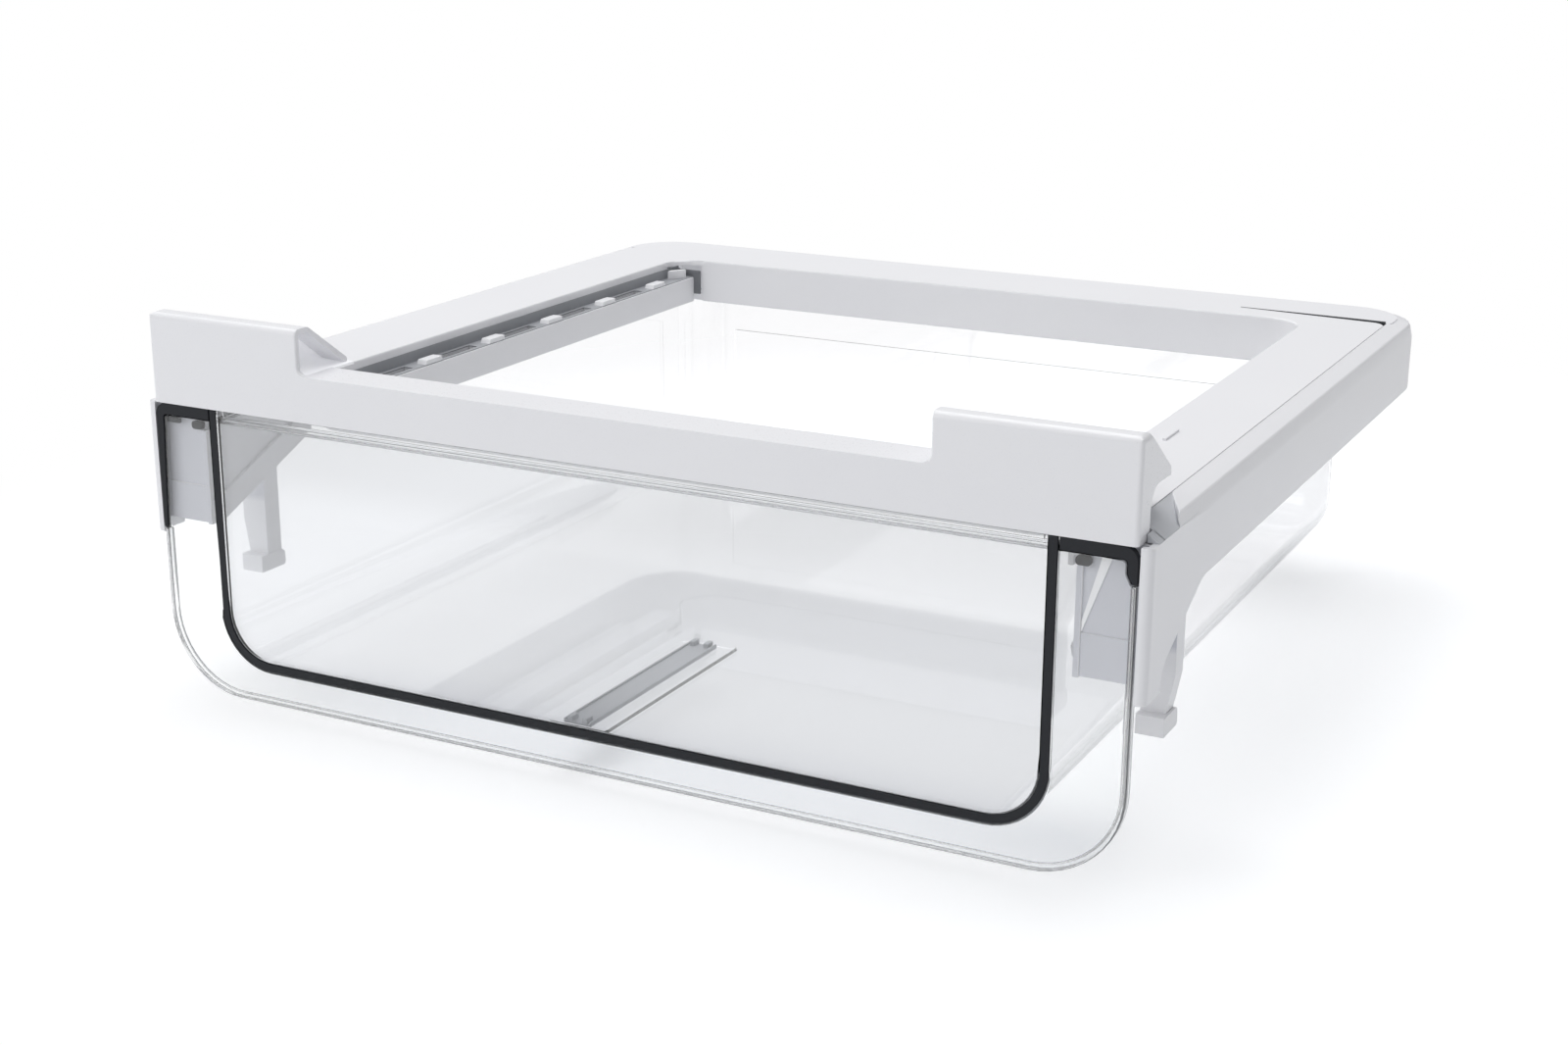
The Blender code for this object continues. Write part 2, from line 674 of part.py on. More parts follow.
def make_bracket(origin, name, sign):
    """Front web, inner gusset with its diagonal brace, and the leg with its hooked foot."""
    outer = sign * (FRAME_HALF_WIDTH - WALL - CLEARANCE)
    inner = sign * BRACKET_IN
    core = sign * (BRACKET_IN + THIN_WALL / 2)
    middle = WEB_FRONT + THIN_WALL / 2
    low = -WEB_DROP + CLEARANCE
    web = plate(name, origin, "Y", WEB_FRONT, WEB_FRONT + THIN_WALL, rectangle(core, low, outer, WEB_TOP))
    step = plate(
        name + "_web_step",
        origin,
        "Y",
        WEB_FRONT - WEB_STEP,
        middle,
        rectangle(core, low + CLEARANCE, outer - sign * CLEARANCE, -WEB_STEP_DROP),
    )
    gusset = plate(
        name + "_gusset",
        origin,
        "X",
        inner,
        sign * (BRACKET_IN + THIN_WALL),
        [
            (WEB_FRONT - WEB_STEP * 2, -WEB_DROP),
            (GUSSET_LOW_DEPTH, -WEB_DROP),
            (GUSSET_END, -GUSSET_END_DROP),
            (GUSSET_END, -GUSSET_TOP_DROP),
            (WEB_FRONT - WEB_STEP * 2, -GUSSET_TOP_DROP),
        ],
    )
    end = GUSSET_END - CLEARANCE
    floor = plate(
        name + "_floor",
        origin,
        "X",
        core,
        outer - sign * CLEARANCE,
        [
            (middle, low),
            (GUSSET_LOW_DEPTH, low),
            (end, -GUSSET_END_DROP + CLEARANCE),
            (end, -GUSSET_END_DROP + THIN_WALL),
            (GUSSET_LOW_DEPTH, low + THIN_WALL),
            (middle, low + THIN_WALL),
        ],
    )
    low_end = Vector((GUSSET_LOW_DEPTH, -WEB_DROP))
    high_end = Vector((GUSSET_END, -GUSSET_END_DROP))
    run = (high_end - low_end).normalized()
    lift = Vector((-run.y, run.x))
    near, far = low_end + lift * BRACE_LIFT, high_end + lift * BRACE_LIFT
    brace = plate(
        name + "_brace",
        origin,
        "X",
        sign * (BRACKET_IN - BRACE_STEP),
        core,
        [near, far, far + lift * BRACE_WIDTH, near + lift * BRACE_WIDTH],
    )
    leg = plate(
        name + "_leg",
        origin,
        "Y",
        LEG_START,
        LEG_END,
        rounded(
            [
                (sign * LEG_IN, -FOOT_TOP_DROP - THIN_WALL),
                (sign * LEG_IN, -GUSSET_TOP_DROP),
                (sign * LEG_OUT, -GUSSET_TOP_DROP),
                (sign * LEG_OUT, -LEG_NECK_TOP_DROP, LEG_NECK),
                (sign * (LEG_OUT - LEG_NECK), -FOOT_TOP_DROP - THIN_WALL),
            ]
        ),
    )
    foot = plate(
        name + "_foot",
        origin,
        "X",
        sign * (LEG_IN - CLEARANCE),
        sign * FOOT_OUT,
        rounded(
            [
                (FOOT_START, -FOOT_DROP),
                (FOOT_END, -FOOT_DROP, FOOT_RADIUS / 2),
                (FOOT_END, -FOOT_TOP_DROP, FOOT_RADIUS),
                (FOOT_START, -FOOT_TOP_DROP),
            ]
        ),
    )
    combine(web, "UNION", step, gusset, floor, brace, leg, foot)
    if sign > 0:
        diagonal = [
            (BRACKET_IN + THIN_WALL, -WEB_STEP_DROP - CLEARANCE),
            (BRACKET_IN + THIN_WALL, -WEB_STEP_DROP + DIAGONAL_WIDTH),
            (LEG_IN, WEB_TOP - CLEARANCE),
            (LEG_IN + DIAGONAL_WIDTH, WEB_TOP - CLEARANCE),
        ]
        front = WEB_FRONT - WEB_STEP + CLEARANCE
        combine(web, "UNION", plate(name + "_diagonal", origin, "Y", front, middle, diagonal))
    return finish(web, WHITE)


def bin_shell(name, origin, inset, top):
    """A closed block with the bin's rounded lower sides and rear, drawn in by inset on every face."""
    half = BIN_HALF_WIDTH - inset
    low = (-half, BIN_FRONT + inset, -BIN_DROP + inset)
    high = (half, BIN_BACK - inset, top)
    made = block(name, origin, low, high)
    shape = bmesh.new()
    shape.from_mesh(made.data)
    front = BIN_FRONT + inset + OVERRUN
    bottom = -BIN_DROP + inset + OVERRUN

    def is_rounded(edge):
        ends = [vertex.co for vertex in edge.verts]
        low_edge = all(end.z < bottom for end in ends)
        at_front = all(end.y < front for end in ends)
        upright = abs(ends[0].z - ends[1].z) > OVERRUN
        return (low_edge and not at_front) or (upright and not at_front)

    bmesh.ops.bevel(
        shape,
        geom=[edge for edge in shape.edges if is_rounded(edge)],
        offset=BIN_RADIUS - inset,
        segments=ARC_STEPS,
        profile=0.5,
        affect="EDGES",
    )
    snap(shape)
    shape.to_mesh(made.data)
    shape.free()
    return made


def make_bin(origin):
    """Clear tub: open top, low back wall, side flanges that ride on the rails, pad for the floor strip."""
    tub = bin_shell("bin", origin, 0, BIN_RIM_TOP)
    hollow = bin_shell("bin_hollow", origin, BIN_WALL, BIN_RIM_TOP + OVERRUN)
    back_cut = block(
        "bin_back_cut",
        origin,
        (-BIN_HALF_WIDTH - OVERRUN, BIN_FLANGE_END + OVERRUN, BIN_BACK_TOP),
        (BIN_HALF_WIDTH + OVERRUN, BIN_BACK + OVERRUN, BIN_RIM_TOP + OVERRUN),
    )
    combine(tub, "DIFFERENCE", hollow, back_cut)
    flange_low = BIN_RIM_TOP - BIN_FLANGE_THICKNESS
    joined = []
    for name, sign in (("left", -1), ("right", 1)):
        flange = block(
            name + "_bin_flange",
            origin,
            (sign * (BIN_HALF_WIDTH - BIN_WALL / 2), BIN_FRONT + CLEARANCE, flange_low),
            (sign * (BIN_HALF_WIDTH + BIN_FLANGE), BIN_FLANGE_END, BIN_RIM_TOP),
        )
        joined.append(flange)
    lip = block(
        "bin_front_lip",
        origin,
        (-BIN_HALF_WIDTH + BIN_WALL / 2, BIN_FRONT + BIN_WALL / 2, flange_low),
        (BIN_HALF_WIDTH - BIN_WALL / 2, BIN_FRONT + BIN_FRONT_LIP, BIN_RIM_TOP),
    )
    step_half = BIN_HALF_WIDTH - BIN_RADIUS - OVERRUN
    step = block(
        "bin_back_step",
        origin,
        (-step_half, BIN_BACK - BIN_WALL - BIN_STEP, -BIN_DROP + BIN_RADIUS + OVERRUN),
        (step_half, BIN_BACK - BIN_WALL / 2, -BIN_STEP_DROP),
    )
    pad = plate(
        "bin_floor_pad",
        origin,
        "Z",
        -BIN_DROP + BIN_WALL / 2,
        BIN_FLOOR + BIN_PAD_HEIGHT,
        rectangle(
            FLOOR_STRIP_LEFT - BIN_PAD_MARGIN,
            BIN_FRONT + BIN_WALL / 2,
            FLOOR_STRIP_RIGHT + BIN_PAD_MARGIN,
            FLOOR_STRIP_END + BIN_PAD_MARGIN,
            BIN_PAD_MARGIN / 2,
        ),
    )
    combine(tub, "UNION", *joined, lip, step, pad)
    return finish(tub, CLEAR)


def band_outline(spare):
    """The U band's closed outline, grown by spare on every side."""
    outer, inner = BIN_HALF_WIDTH + spare, BIN_HALF_WIDTH - U_BAND_WIDTH - spare
    low, high = -BIN_DROP - spare, -BIN_DROP + U_BAND_WIDTH + spare
    top = -CLEARANCE + spare
    return rounded(
        [
            (-outer, top),
            (-outer, low, BIN_RADIUS + spare),
            (outer, low, BIN_RADIUS + spare),
            (outer, top),
            (inner, top),
            (inner, high, BIN_RADIUS - U_BAND_WIDTH - spare),
            (-inner, high, BIN_RADIUS - U_BAND_WIDTH - spare),
            (-inner, top),
        ],
        steps=ARC_STEPS + 2,
    )


def strip_outline(drop):
    """A corner strip's outline on the +X side: along the panel's top, round its corner and down its edge."""
    side = PANEL_HALF_WIDTH
    top = -CLEARANCE
    return [
        (BIN_HALF_WIDTH + CLEARANCE * 2, top),
        (side, top, PANEL_CORNER_RADIUS),
        (side, -drop),
        (side - STRIP_END_WIDTH, -drop),
        (side - STRIP_WIDTH, -STRIP_HEIGHT - PANEL_CORNER_RADIUS),
        (side - STRIP_WIDTH, -STRIP_HEIGHT, STRIP_END_WIDTH),
        (BIN_HALF_WIDTH + CLEARANCE * 2, -STRIP_HEIGHT),
    ]


def make_front_panel(origin):
    """Clear panel with rounded lower corners, rebated for the corner strips and grooved for the U band."""
    side, top = PANEL_HALF_WIDTH, -CLEARANCE
    low = -STRIP_HEIGHT - CLEARANCE
    inset = side - STRIP_WIDTH - CLEARANCE

    def half_outline(drop):
        return [
            (side, -PANEL_DROP, PANEL_RADIUS),
            (side, -drop - CLEARANCE),
            (side - STRIP_END_WIDTH - CLEARANCE, -drop - CLEARANCE),
            (inset, -STRIP_HEIGHT - PANEL_CORNER_RADIUS),
            (inset, low, STRIP_END_WIDTH - CLEARANCE),
            (BIN_HALF_WIDTH, low),
            (BIN_HALF_WIDTH, top),
            (TONGUE_HALF_WIDTH, top),
            (TONGUE_HALF_WIDTH, TONGUE_TOP),
        ]

    right = half_outline(STRIP_RIGHT_DROP)
    left = mirrored(half_outline(STRIP_LEFT_DROP))[::-1]
    outline = rounded(right + left, steps=ARC_STEPS + 3)
    panel = plate("front_panel", origin, "Y", PANEL_FRONT, PANEL_RIM_BACK, outline)
    groove = plate(
        "band_groove",
        origin,
        "Y",
        PANEL_FRONT - OVERRUN,
        PANEL_FRONT + U_BAND_THICKNESS + CLEARANCE,
        band_outline(CLEARANCE),
    )
    inner_side, inner_low = side - PANEL_RIM_WALL, -PANEL_DROP + PANEL_RIM_WALL
    inner_radius = PANEL_RADIUS - PANEL_RIM_WALL
    left_end, right_end = -STRIP_LEFT_DROP - CLEARANCE * 2, -STRIP_RIGHT_DROP - CLEARANCE * 2
    pocket = [
        (side + OVERRUN, right_end),
        (side + OVERRUN, OVERRUN),
        (TONGUE_HALF_WIDTH, OVERRUN),
        (TONGUE_HALF_WIDTH, -TONGUE_DROP),
        (-TONGUE_HALF_WIDTH, -TONGUE_DROP),
        (-TONGUE_HALF_WIDTH, OVERRUN),
        (-side - OVERRUN, OVERRUN),
        (-side - OVERRUN, left_end),
        (-inner_side, left_end),
        (-inner_side, inner_low, inner_radius),
        (inner_side, inner_low, inner_radius),
        (inner_side, right_end),
    ]
    behind = plate(
        "panel_pocket",
        origin,
        "Y",
        PANEL_BACK,
        PANEL_RIM_BACK + OVERRUN,
        rounded(pocket, steps=ARC_STEPS + 3),
    )
    tongue_front = THIN_WALL + CLEARANCE
    wide, high = TONGUE_HALF_WIDTH + OVERRUN, TONGUE_TOP + OVERRUN
    before_tongue = block(
        "before_tongue", origin, (-wide, PANEL_FRONT - OVERRUN, top), (wide, tongue_front, high)
    )
    after_tongue = block(
        "after_tongue",
        origin,
        (-wide, tongue_front + TONGUE_THICKNESS, -TONGUE_DROP - OVERRUN),
        (wide, PANEL_RIM_BACK + OVERRUN, high),
    )
    cut_together(panel, groove, behind, before_tongue, after_tongue)
    finish(panel, CLEAR)
    band = plate("u_band", origin, "Y", PANEL_FRONT, PANEL_FRONT + U_BAND_THICKNESS, band_outline(0))
    finish(band, DARK)
    for name, drop, turn in (
        ("corner_strip_left", STRIP_LEFT_DROP, mirrored),
        ("corner_strip_right", STRIP_RIGHT_DROP, list),
    ):
        outline = rounded(turn(strip_outline(drop)))
        strip = plate(name, origin, "Y", PANEL_FRONT, PANEL_BACK, outline)
        if name == "corner_strip_left":
            back = PANEL_BACK + CLEARANCE
            edge = -side + STRIP_END_WIDTH
            end, low = edge + STRIP_WIDTH + STRIP_HOOK_LENGTH, -STRIP_HOOK_DROP
            hook = [
                (edge, low),
                (end, low),
                (end, low + STRIP_HOOK_HEIGHT),
                (end - STRIP_HOOK_LENGTH + STRIP_HOOK_HEIGHT, low + STRIP_HOOK_HEIGHT),
                (end - STRIP_HOOK_LENGTH + STRIP_HOOK_HEIGHT, low + STRIP_HOOK_RISE),
                (edge, low + STRIP_HOOK_RISE),
            ]
            root = block(
                "strip_hook_root",
                origin,
                (edge - CLEARANCE, PANEL_BACK - THIN_WALL / 2, low + CLEARANCE),
                (edge + STRIP_END_WIDTH, back + CLEARANCE, low + STRIP_HOOK_RISE - CLEARANCE),
            )
            shape = plate("strip_hook", origin, "Y", back, back + STRIP_HOOK_DEPTH, hook)
            combine(strip, "UNION", root, shape)
        finish(strip, DARK)


def make_plugs(origin):
    """Oval buffers behind the panel that meet the bracket webs, and the hook behind the left strip."""
    back = PANEL_BACK + CLEARANCE
    reach = (WEB_FRONT - WEB_STEP - back) * BUFFER_SHARE
    for name, sign in (("buffer_left", -1), ("buffer_right", 1)):
        middle = sign * BUFFER_X
        outline = rectangle(
            middle - BUFFER_WIDTH / 2,
            -BUFFER_DROP - BUFFER_HEIGHT / 2,
            middle + BUFFER_WIDTH / 2,
            -BUFFER_DROP + BUFFER_HEIGHT / 2,
            BUFFER_HEIGHT / 2 - CLEARANCE,
        )
        finish(plate(name, origin, "Y", back, back + reach, outline), DARK)


def make_fascia(origin):
    """Thin front wall with a grip flange, and raised ends whose wings slope back to a rounded tip."""
    half, end = FASCIA_HALF_WIDTH, FASCIA_END_START
    lap = end + FASCIA_FILLET
    shoulder = FASCIA_MIDDLE_HEIGHT + FASCIA_FILLET * 2
    front = rounded(
        [
            (-lap, 0),
            (lap, 0),
            (lap, shoulder),
            (end, shoulder),
            (end, FASCIA_MIDDLE_HEIGHT, FASCIA_FILLET),
            (-end, FASCIA_MIDDLE_HEIGHT, FASCIA_FILLET),
            (-end, shoulder),
            (-lap, shoulder),
        ]
    )
    fascia = plate("fascia", origin, "Y", 0, THIN_WALL, front)
    flange = plate(
        "grip_flange",
        origin,
        "X",
        -end - WALL,
        end + WALL,
        rounded(
            [
                (THIN_WALL / 2, FASCIA_MIDDLE_HEIGHT - THIN_WALL),
                (FASCIA_FLANGE_DEPTH, FASCIA_MIDDLE_HEIGHT - THIN_WALL, EDGE_ROUND),
                (FASCIA_FLANGE_DEPTH, FASCIA_MIDDLE_HEIGHT, EDGE_ROUND),
                (THIN_WALL / 2, FASCIA_MIDDLE_HEIGHT),
            ],
            steps=2,
        ),
    )
    body = rounded(
        [
            (0, 0),
            (0, FASCIA_END_HEIGHT, FASCIA_CORNER),
            (FASCIA_TOP_DEPTH, FASCIA_END_HEIGHT, FASCIA_CORNER),
            (WING_TIP_DEPTH, WING_TIP_HEIGHT, WING_TIP_RADIUS),
            (WING_UNDERCUT_DEPTH, WING_UNDERCUT_HEIGHT, WING_UNDERCUT_RADIUS),
            (WING_UNDERCUT_DEPTH, 0),
        ]
    )
    slope = Vector((WING_TIP_DEPTH - FASCIA_TOP_DEPTH, WING_TIP_HEIGHT - FASCIA_END_HEIGHT))
    inward = Vector((slope.y, -slope.x)).normalized() * THIN_WALL
    beyond = Vector((WING_TIP_DEPTH, WING_TIP_HEIGHT)) + inward + slope.normalized() * OVERRUN
    room = [
        (THIN_WALL, -OVERRUN),
        (THIN_WALL, FASCIA_END_HEIGHT - THIN_WALL),
        (FASCIA_TOP_DEPTH, FASCIA_END_HEIGHT - THIN_WALL),
        (FASCIA_TOP_DEPTH + inward.x + slope.x / 4, FASCIA_END_HEIGHT + inward.y + slope.y / 4),
        tuple(beyond),
        (beyond.x, -OVERRUN),
    ]
    joined = [flange]
    for name, sign in (("left", -1), ("right", 1)):
        shell = plate(name + "_end", origin, "X", sign * end, sign * half, body)
        inner, outer = sign * (end - OVERRUN), sign * half
        from_front = [
            (inner, -OVERRUN),
            (outer, -OVERRUN),
            (outer, FASCIA_END_HEIGHT, FASCIA_CORNER),
            (inner, FASCIA_END_HEIGHT),
        ]
        from_above = [
            (inner, 0),
            (inner, WING_TIP_DEPTH + OVERRUN),
            (outer, WING_TIP_DEPTH + OVERRUN),
            (outer, 0, FASCIA_SIDE_ROUND),
        ]
        front_view = plate(
            name + "_front_view", origin, "Y", -OVERRUN, WING_TIP_DEPTH + OVERRUN, rounded(from_front)
        )
        top_view = plate(
            name + "_top_view", origin, "Z", -OVERRUN, FASCIA_END_HEIGHT + OVERRUN, rounded(from_above)
        )
        combine(shell, "INTERSECT", front_view, top_view)
        inside = plate(name + "_room", origin, "X", sign * (end - OVERRUN), sign * (half - THIN_WALL), room)
        joined.append(combine(shell, "DIFFERENCE", inside))
    combine(fascia, "UNION", *joined)
    return finish(fascia, WHITE)


def make_floor_strip(origin):
    """Shallow channel on the drawer floor with raised long edges and a hook at each end."""
    low = BIN_FLOOR + BIN_PAD_HEIGHT + CLEARANCE
    start = BIN_FRONT + BIN_WALL + CLEARANCE
    left, right = FLOOR_STRIP_LEFT, FLOOR_STRIP_RIGHT
    section = [
        (left, low),
        (right, low),
        (right, low + FLOOR_STRIP_HEIGHT),
        (right - FLOOR_STRIP_EDGE, low + FLOOR_STRIP_HEIGHT),
        (right - FLOOR_STRIP_EDGE, low + FLOOR_STRIP_BASE),
        (left + FLOOR_STRIP_EDGE, low + FLOOR_STRIP_BASE),
        (left + FLOOR_STRIP_EDGE, low + FLOOR_STRIP_HEIGHT),
        (left, low + FLOOR_STRIP_HEIGHT),
    ]
    strip = plate("floor_strip", origin, "Y", start, FLOOR_STRIP_END, section)
    inner_left = left + FLOOR_STRIP_EDGE * 2
    inner_right = right - FLOOR_STRIP_EDGE * 2 - FLOOR_HOOK_WIDTH
    hooks = []
    for end, place in (("front", start), ("rear", FLOOR_STRIP_END - FLOOR_HOOK_LENGTH)):
        for side, across in (("left", inner_left), ("right", inner_right)):
            hook = block(
                f"{end}_{side}_hook",
                origin,
                (across, place, low + FLOOR_STRIP_BASE / 2),
                (across + FLOOR_HOOK_WIDTH, place + FLOOR_HOOK_LENGTH, low + FLOOR_HOOK_HEIGHT),
            )
            hooks.append(hook)
    combine(strip, "UNION", *hooks)
    return finish(strip, GREY)


clear_scene()
PARTS = new_collection("refrigerator_drawer_unit")
CUTTERS = new_collection("cutters", hidden=True)
frame_origin = new_origin("frame_origin")
drawer_slide = new_origin("drawer_slide")

make_shelf_frame(frame_origin)
make_deck(frame_origin)
make_pane_channel(frame_origin)
make_pane_clips(frame_origin)
for side_name, side_sign in (("left", -1), ("right", 1)):
    make_rail(frame_origin, f"rail_{side_name}", side_sign)
    make_bracket(frame_origin, f"bracket_{side_name}", side_sign)

make_bin(drawer_slide)
make_front_panel(drawer_slide)
make_plugs(drawer_slide)
make_fascia(drawer_slide)
make_floor_strip(drawer_slide)
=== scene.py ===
import math

import bmesh
import bpy
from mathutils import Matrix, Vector


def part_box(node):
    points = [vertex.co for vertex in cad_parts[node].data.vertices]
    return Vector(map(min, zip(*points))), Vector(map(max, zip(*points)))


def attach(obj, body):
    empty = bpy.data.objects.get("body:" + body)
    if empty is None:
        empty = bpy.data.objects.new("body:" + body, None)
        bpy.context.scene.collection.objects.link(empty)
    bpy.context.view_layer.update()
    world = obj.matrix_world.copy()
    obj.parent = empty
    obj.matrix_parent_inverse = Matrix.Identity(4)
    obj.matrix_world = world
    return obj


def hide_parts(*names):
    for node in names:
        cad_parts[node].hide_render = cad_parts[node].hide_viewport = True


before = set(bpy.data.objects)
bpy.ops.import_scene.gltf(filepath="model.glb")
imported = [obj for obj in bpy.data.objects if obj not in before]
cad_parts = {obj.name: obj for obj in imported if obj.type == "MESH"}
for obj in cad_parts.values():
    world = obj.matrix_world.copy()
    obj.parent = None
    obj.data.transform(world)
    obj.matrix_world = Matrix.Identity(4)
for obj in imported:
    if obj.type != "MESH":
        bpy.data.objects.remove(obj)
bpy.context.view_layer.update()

# --- Studio ---
# A drawer unit photographed alone on a white sweep: one pale floor that runs into a white
# surround, a large overhead softbox, a weaker one from the front left, and a lens of about 52 mm
# at table height.

HORIZON_LIGHT, OVERHEAD_LIGHT = 0.40, 0.60
LEFT_SHARE, RIGHT_SHARE = 1.15, 0.50
FLAG_LINE = (0.888, 0.459, 0.0)
SIDE_FLAG_TONE = 0.22
TOP_FLAG_TONE = 0.45


def linear(hex_colour):
    """sRGB hex to linear RGBA."""
    parts = [int(hex_colour[i : i + 2], 16) / 255 for i in (1, 3, 5)]
    return (*[c / 12.92 if c <= 0.04045 else ((c + 0.055) / 1.055) ** 2.4 for c in parts], 1)


def add_node(tree, kind, inputs=None, **settings):
    """A node with its settings; each input is a value, or the socket that feeds it."""
    made = tree.nodes.new(kind)
    for key, value in settings.items():
        setattr(made, key, value)
    for key, value in (inputs or {}).items():
        if isinstance(value, bpy.types.NodeSocket):
            tree.links.new(value, made.inputs[key])
        else:
            made.inputs[key].default_value = value
    return made


def seen_rays(tree):
    """1 for rays that show a surface to the eye: straight, mirrored or through clear plastic."""
    path = add_node(tree, "ShaderNodeLightPath")
    first = add_node(
        tree,
        "ShaderNodeMath",
        {0: path.outputs["Is Camera Ray"], 1: path.outputs["Is Glossy Ray"]},
        operation="MAXIMUM",
    )
    return add_node(
        tree,
        "ShaderNodeMath",
        {0: first.outputs[0], 1: path.outputs["Is Transmission Ray"]},
        operation="MAXIMUM",
    ).outputs[0]


bpy.context.scene.view_settings.view_transform = "Standard"
world = bpy.data.worlds.new("white_studio")
bpy.context.scene.world = world
world.use_nodes = True
sky = world.node_tree
sky.nodes.clear()

# The surround lights a little more from above and from the left.
sky_place = add_node(sky, "ShaderNodeTexCoord")
heading = add_node(sky, "ShaderNodeSeparateXYZ", {0: sky_place.outputs["Generated"]})
height = add_node(
    sky,
    "ShaderNodeMapRange",
    {
        "Value": heading.outputs["Z"],
        "From Min": 0.02,
        "From Max": 0.75,
        "To Min": HORIZON_LIGHT,
        "To Max": OVERHEAD_LIGHT,
    },
    interpolation_type="SMOOTHSTEP",
)
side = add_node(
    sky,
    "ShaderNodeMapRange",
    {
        "Value": heading.outputs["X"],
        "From Min": -1.0,
        "From Max": 1.0,
        "To Min": LEFT_SHARE,
        "To Max": RIGHT_SHARE,
    },
)
level = add_node(
    sky,
    "ShaderNodeMath",
    {0: height.outputs["Result"], 1: side.outputs["Result"]},
    operation="MULTIPLY",
)
fill = add_node(
    sky, "ShaderNodeBackground", {"Color": linear("#F6F7F9"), "Strength": level.outputs[0]}
)
surround = add_node(sky, "ShaderNodeBackground", {"Color": linear("#FFFFFF"), "Strength": 1.0})

# Grey flags at both sides and overhead show only through clear plastic: they draw its edges.
across = add_node(
    sky,
    "ShaderNodeVectorMath",
    {0: heading.inputs[0].links[0].from_socket, 1: FLAG_LINE},
    operation="DOT_PRODUCT",
)
aside = add_node(sky, "ShaderNodeMath", {0: across.outputs["Value"]}, operation="ABSOLUTE")
flag = add_node(
    sky,
    "ShaderNodeMapRange",
    {
        "Value": aside.outputs[0],
        "From Min": 0.80,
        "From Max": 0.93,
        "To Min": 1.0,
        "To Max": SIDE_FLAG_TONE,
    },
    interpolation_type="SMOOTHSTEP",
)
above = add_node(
    sky,
    "ShaderNodeMapRange",
    {
        "Value": heading.outputs["Z"],
        "From Min": 0.70,
        "From Max": 0.92,
        "To Min": 1.0,
        "To Max": TOP_FLAG_TONE,
    },
    interpolation_type="SMOOTHSTEP",
)
bent = add_node(
    sky,
    "ShaderNodeMath",
    {0: flag.outputs["Result"], 1: above.outputs["Result"]},
    operation="MULTIPLY",
)
path = add_node(sky, "ShaderNodeLightPath")
through = add_node(
    sky, "ShaderNodeBackground", {"Color": linear("#FFFFFF"), "Strength": bent.outputs[0]}
)
refracted = add_node(
    sky,
    "ShaderNodeMixShader",
    {0: path.outputs["Is Transmission Ray"], 1: fill.outputs[0], 2: through.outputs[0]},
)
mixed = add_node(
    sky,
    "ShaderNodeMixShader",
    {0: path.outputs["Is Camera Ray"], 1: refracted.outputs[0], 2: surround.outputs[0]},
)
add_node(sky, "ShaderNodeOutputWorld", {"Surface": mixed.outputs[0]})

FLOOR_SIZE = 6.0
FLOOR_DROP = 0.0004
FIBRES_PER_METRE = 900.0
FADE_CENTRE = (0.10, 0.08, 0.0)
FADE_FROM, FADE_TO = 0.30, 0.62
UNDER_HALF_WIDTH = 0.18
UNDER_HALF_DEPTH = 0.17
PAINTED_SHADOW_FILL, FILL_AROUND = 0.19, 0.28
SWEEP_LEFT, SWEEP_RIGHT = 0.98, 0.78
SWEEP_REAR = 0.84
SWEEP_COVER = 0.75
shape = bmesh.new()
bmesh.ops.create_grid(shape, x_segments=1, y_segments=1, size=FLOOR_SIZE / 2)
floor_mesh = bpy.data.meshes.new("studio_floor")
shape.to_mesh(floor_mesh)
shape.free()
floor = bpy.data.objects.new("studio_floor", floor_mesh)
floor.location = (0, 0, -FLOOR_DROP)
bpy.context.scene.collection.objects.link(floor)
paper = bpy.data.materials.new("matt_white_paper")
paper.use_nodes = True
tree = paper.node_tree
tree.nodes.clear()
place_on_floor = add_node(tree, "ShaderNodeTexCoord").outputs["Object"]
fibre = add_node(
    tree, "ShaderNodeTexNoise", {"Vector": place_on_floor, "Scale": FIBRES_PER_METRE, "Detail": 2.0}
)
pulp = add_node(
    tree,
    "ShaderNodeMix",
    {"Factor": fibre.outputs["Fac"], 6: linear("#F1F2F4"), 7: linear("#F6F7F8")},
    data_type="RGBA",
)
away = add_node(
    tree,
    "ShaderNodeVectorMath",
    {0: place_on_floor, 1: FADE_CENTRE},
    operation="DISTANCE",
)
fade = add_node(
    tree,
    "ShaderNodeMapRange",
    {"Value": away.outputs["Value"], "From Min": FADE_FROM, "From Max": FADE_TO},
    interpolation_type="SMOOTHSTEP",
)
seen = seen_rays(tree)
matt = add_node(tree, "ShaderNodeBsdfDiffuse", {"Color": pulp.outputs[2], "Roughness": 0.4})

# A glow seen only by the eye lifts the paper towards white and lightens its shadow; it is weaker
# right under the tub, which paints a deeper shadow there.
side_place = add_node(tree, "ShaderNodeSeparateXYZ", {0: place_on_floor})
off_middle = add_node(tree, "ShaderNodeMath", {0: side_place.outputs["X"]}, operation="ABSOLUTE")
off_centre = add_node(tree, "ShaderNodeMath", {0: side_place.outputs["Y"]}, operation="ABSOLUTE")
past_sides = add_node(
    tree, "ShaderNodeMath", {0: off_middle.outputs[0], 1: UNDER_HALF_WIDTH}, operation="SUBTRACT"
)
past_ends = add_node(
    tree, "ShaderNodeMath", {0: off_centre.outputs[0], 1: UNDER_HALF_DEPTH}, operation="SUBTRACT"
)
past_tub = add_node(
    tree, "ShaderNodeMath", {0: past_sides.outputs[0], 1: past_ends.outputs[0]}, operation="MAXIMUM"
)
under_tub_shadow = add_node(
    tree,
    "ShaderNodeMapRange",
    {
        "Value": past_tub.outputs[0],
        "From Min": -0.02,
        "From Max": 0.03,
        "To Min": PAINTED_SHADOW_FILL,
        "To Max": FILL_AROUND,
    },
    interpolation_type="SMOOTHSTEP",
)
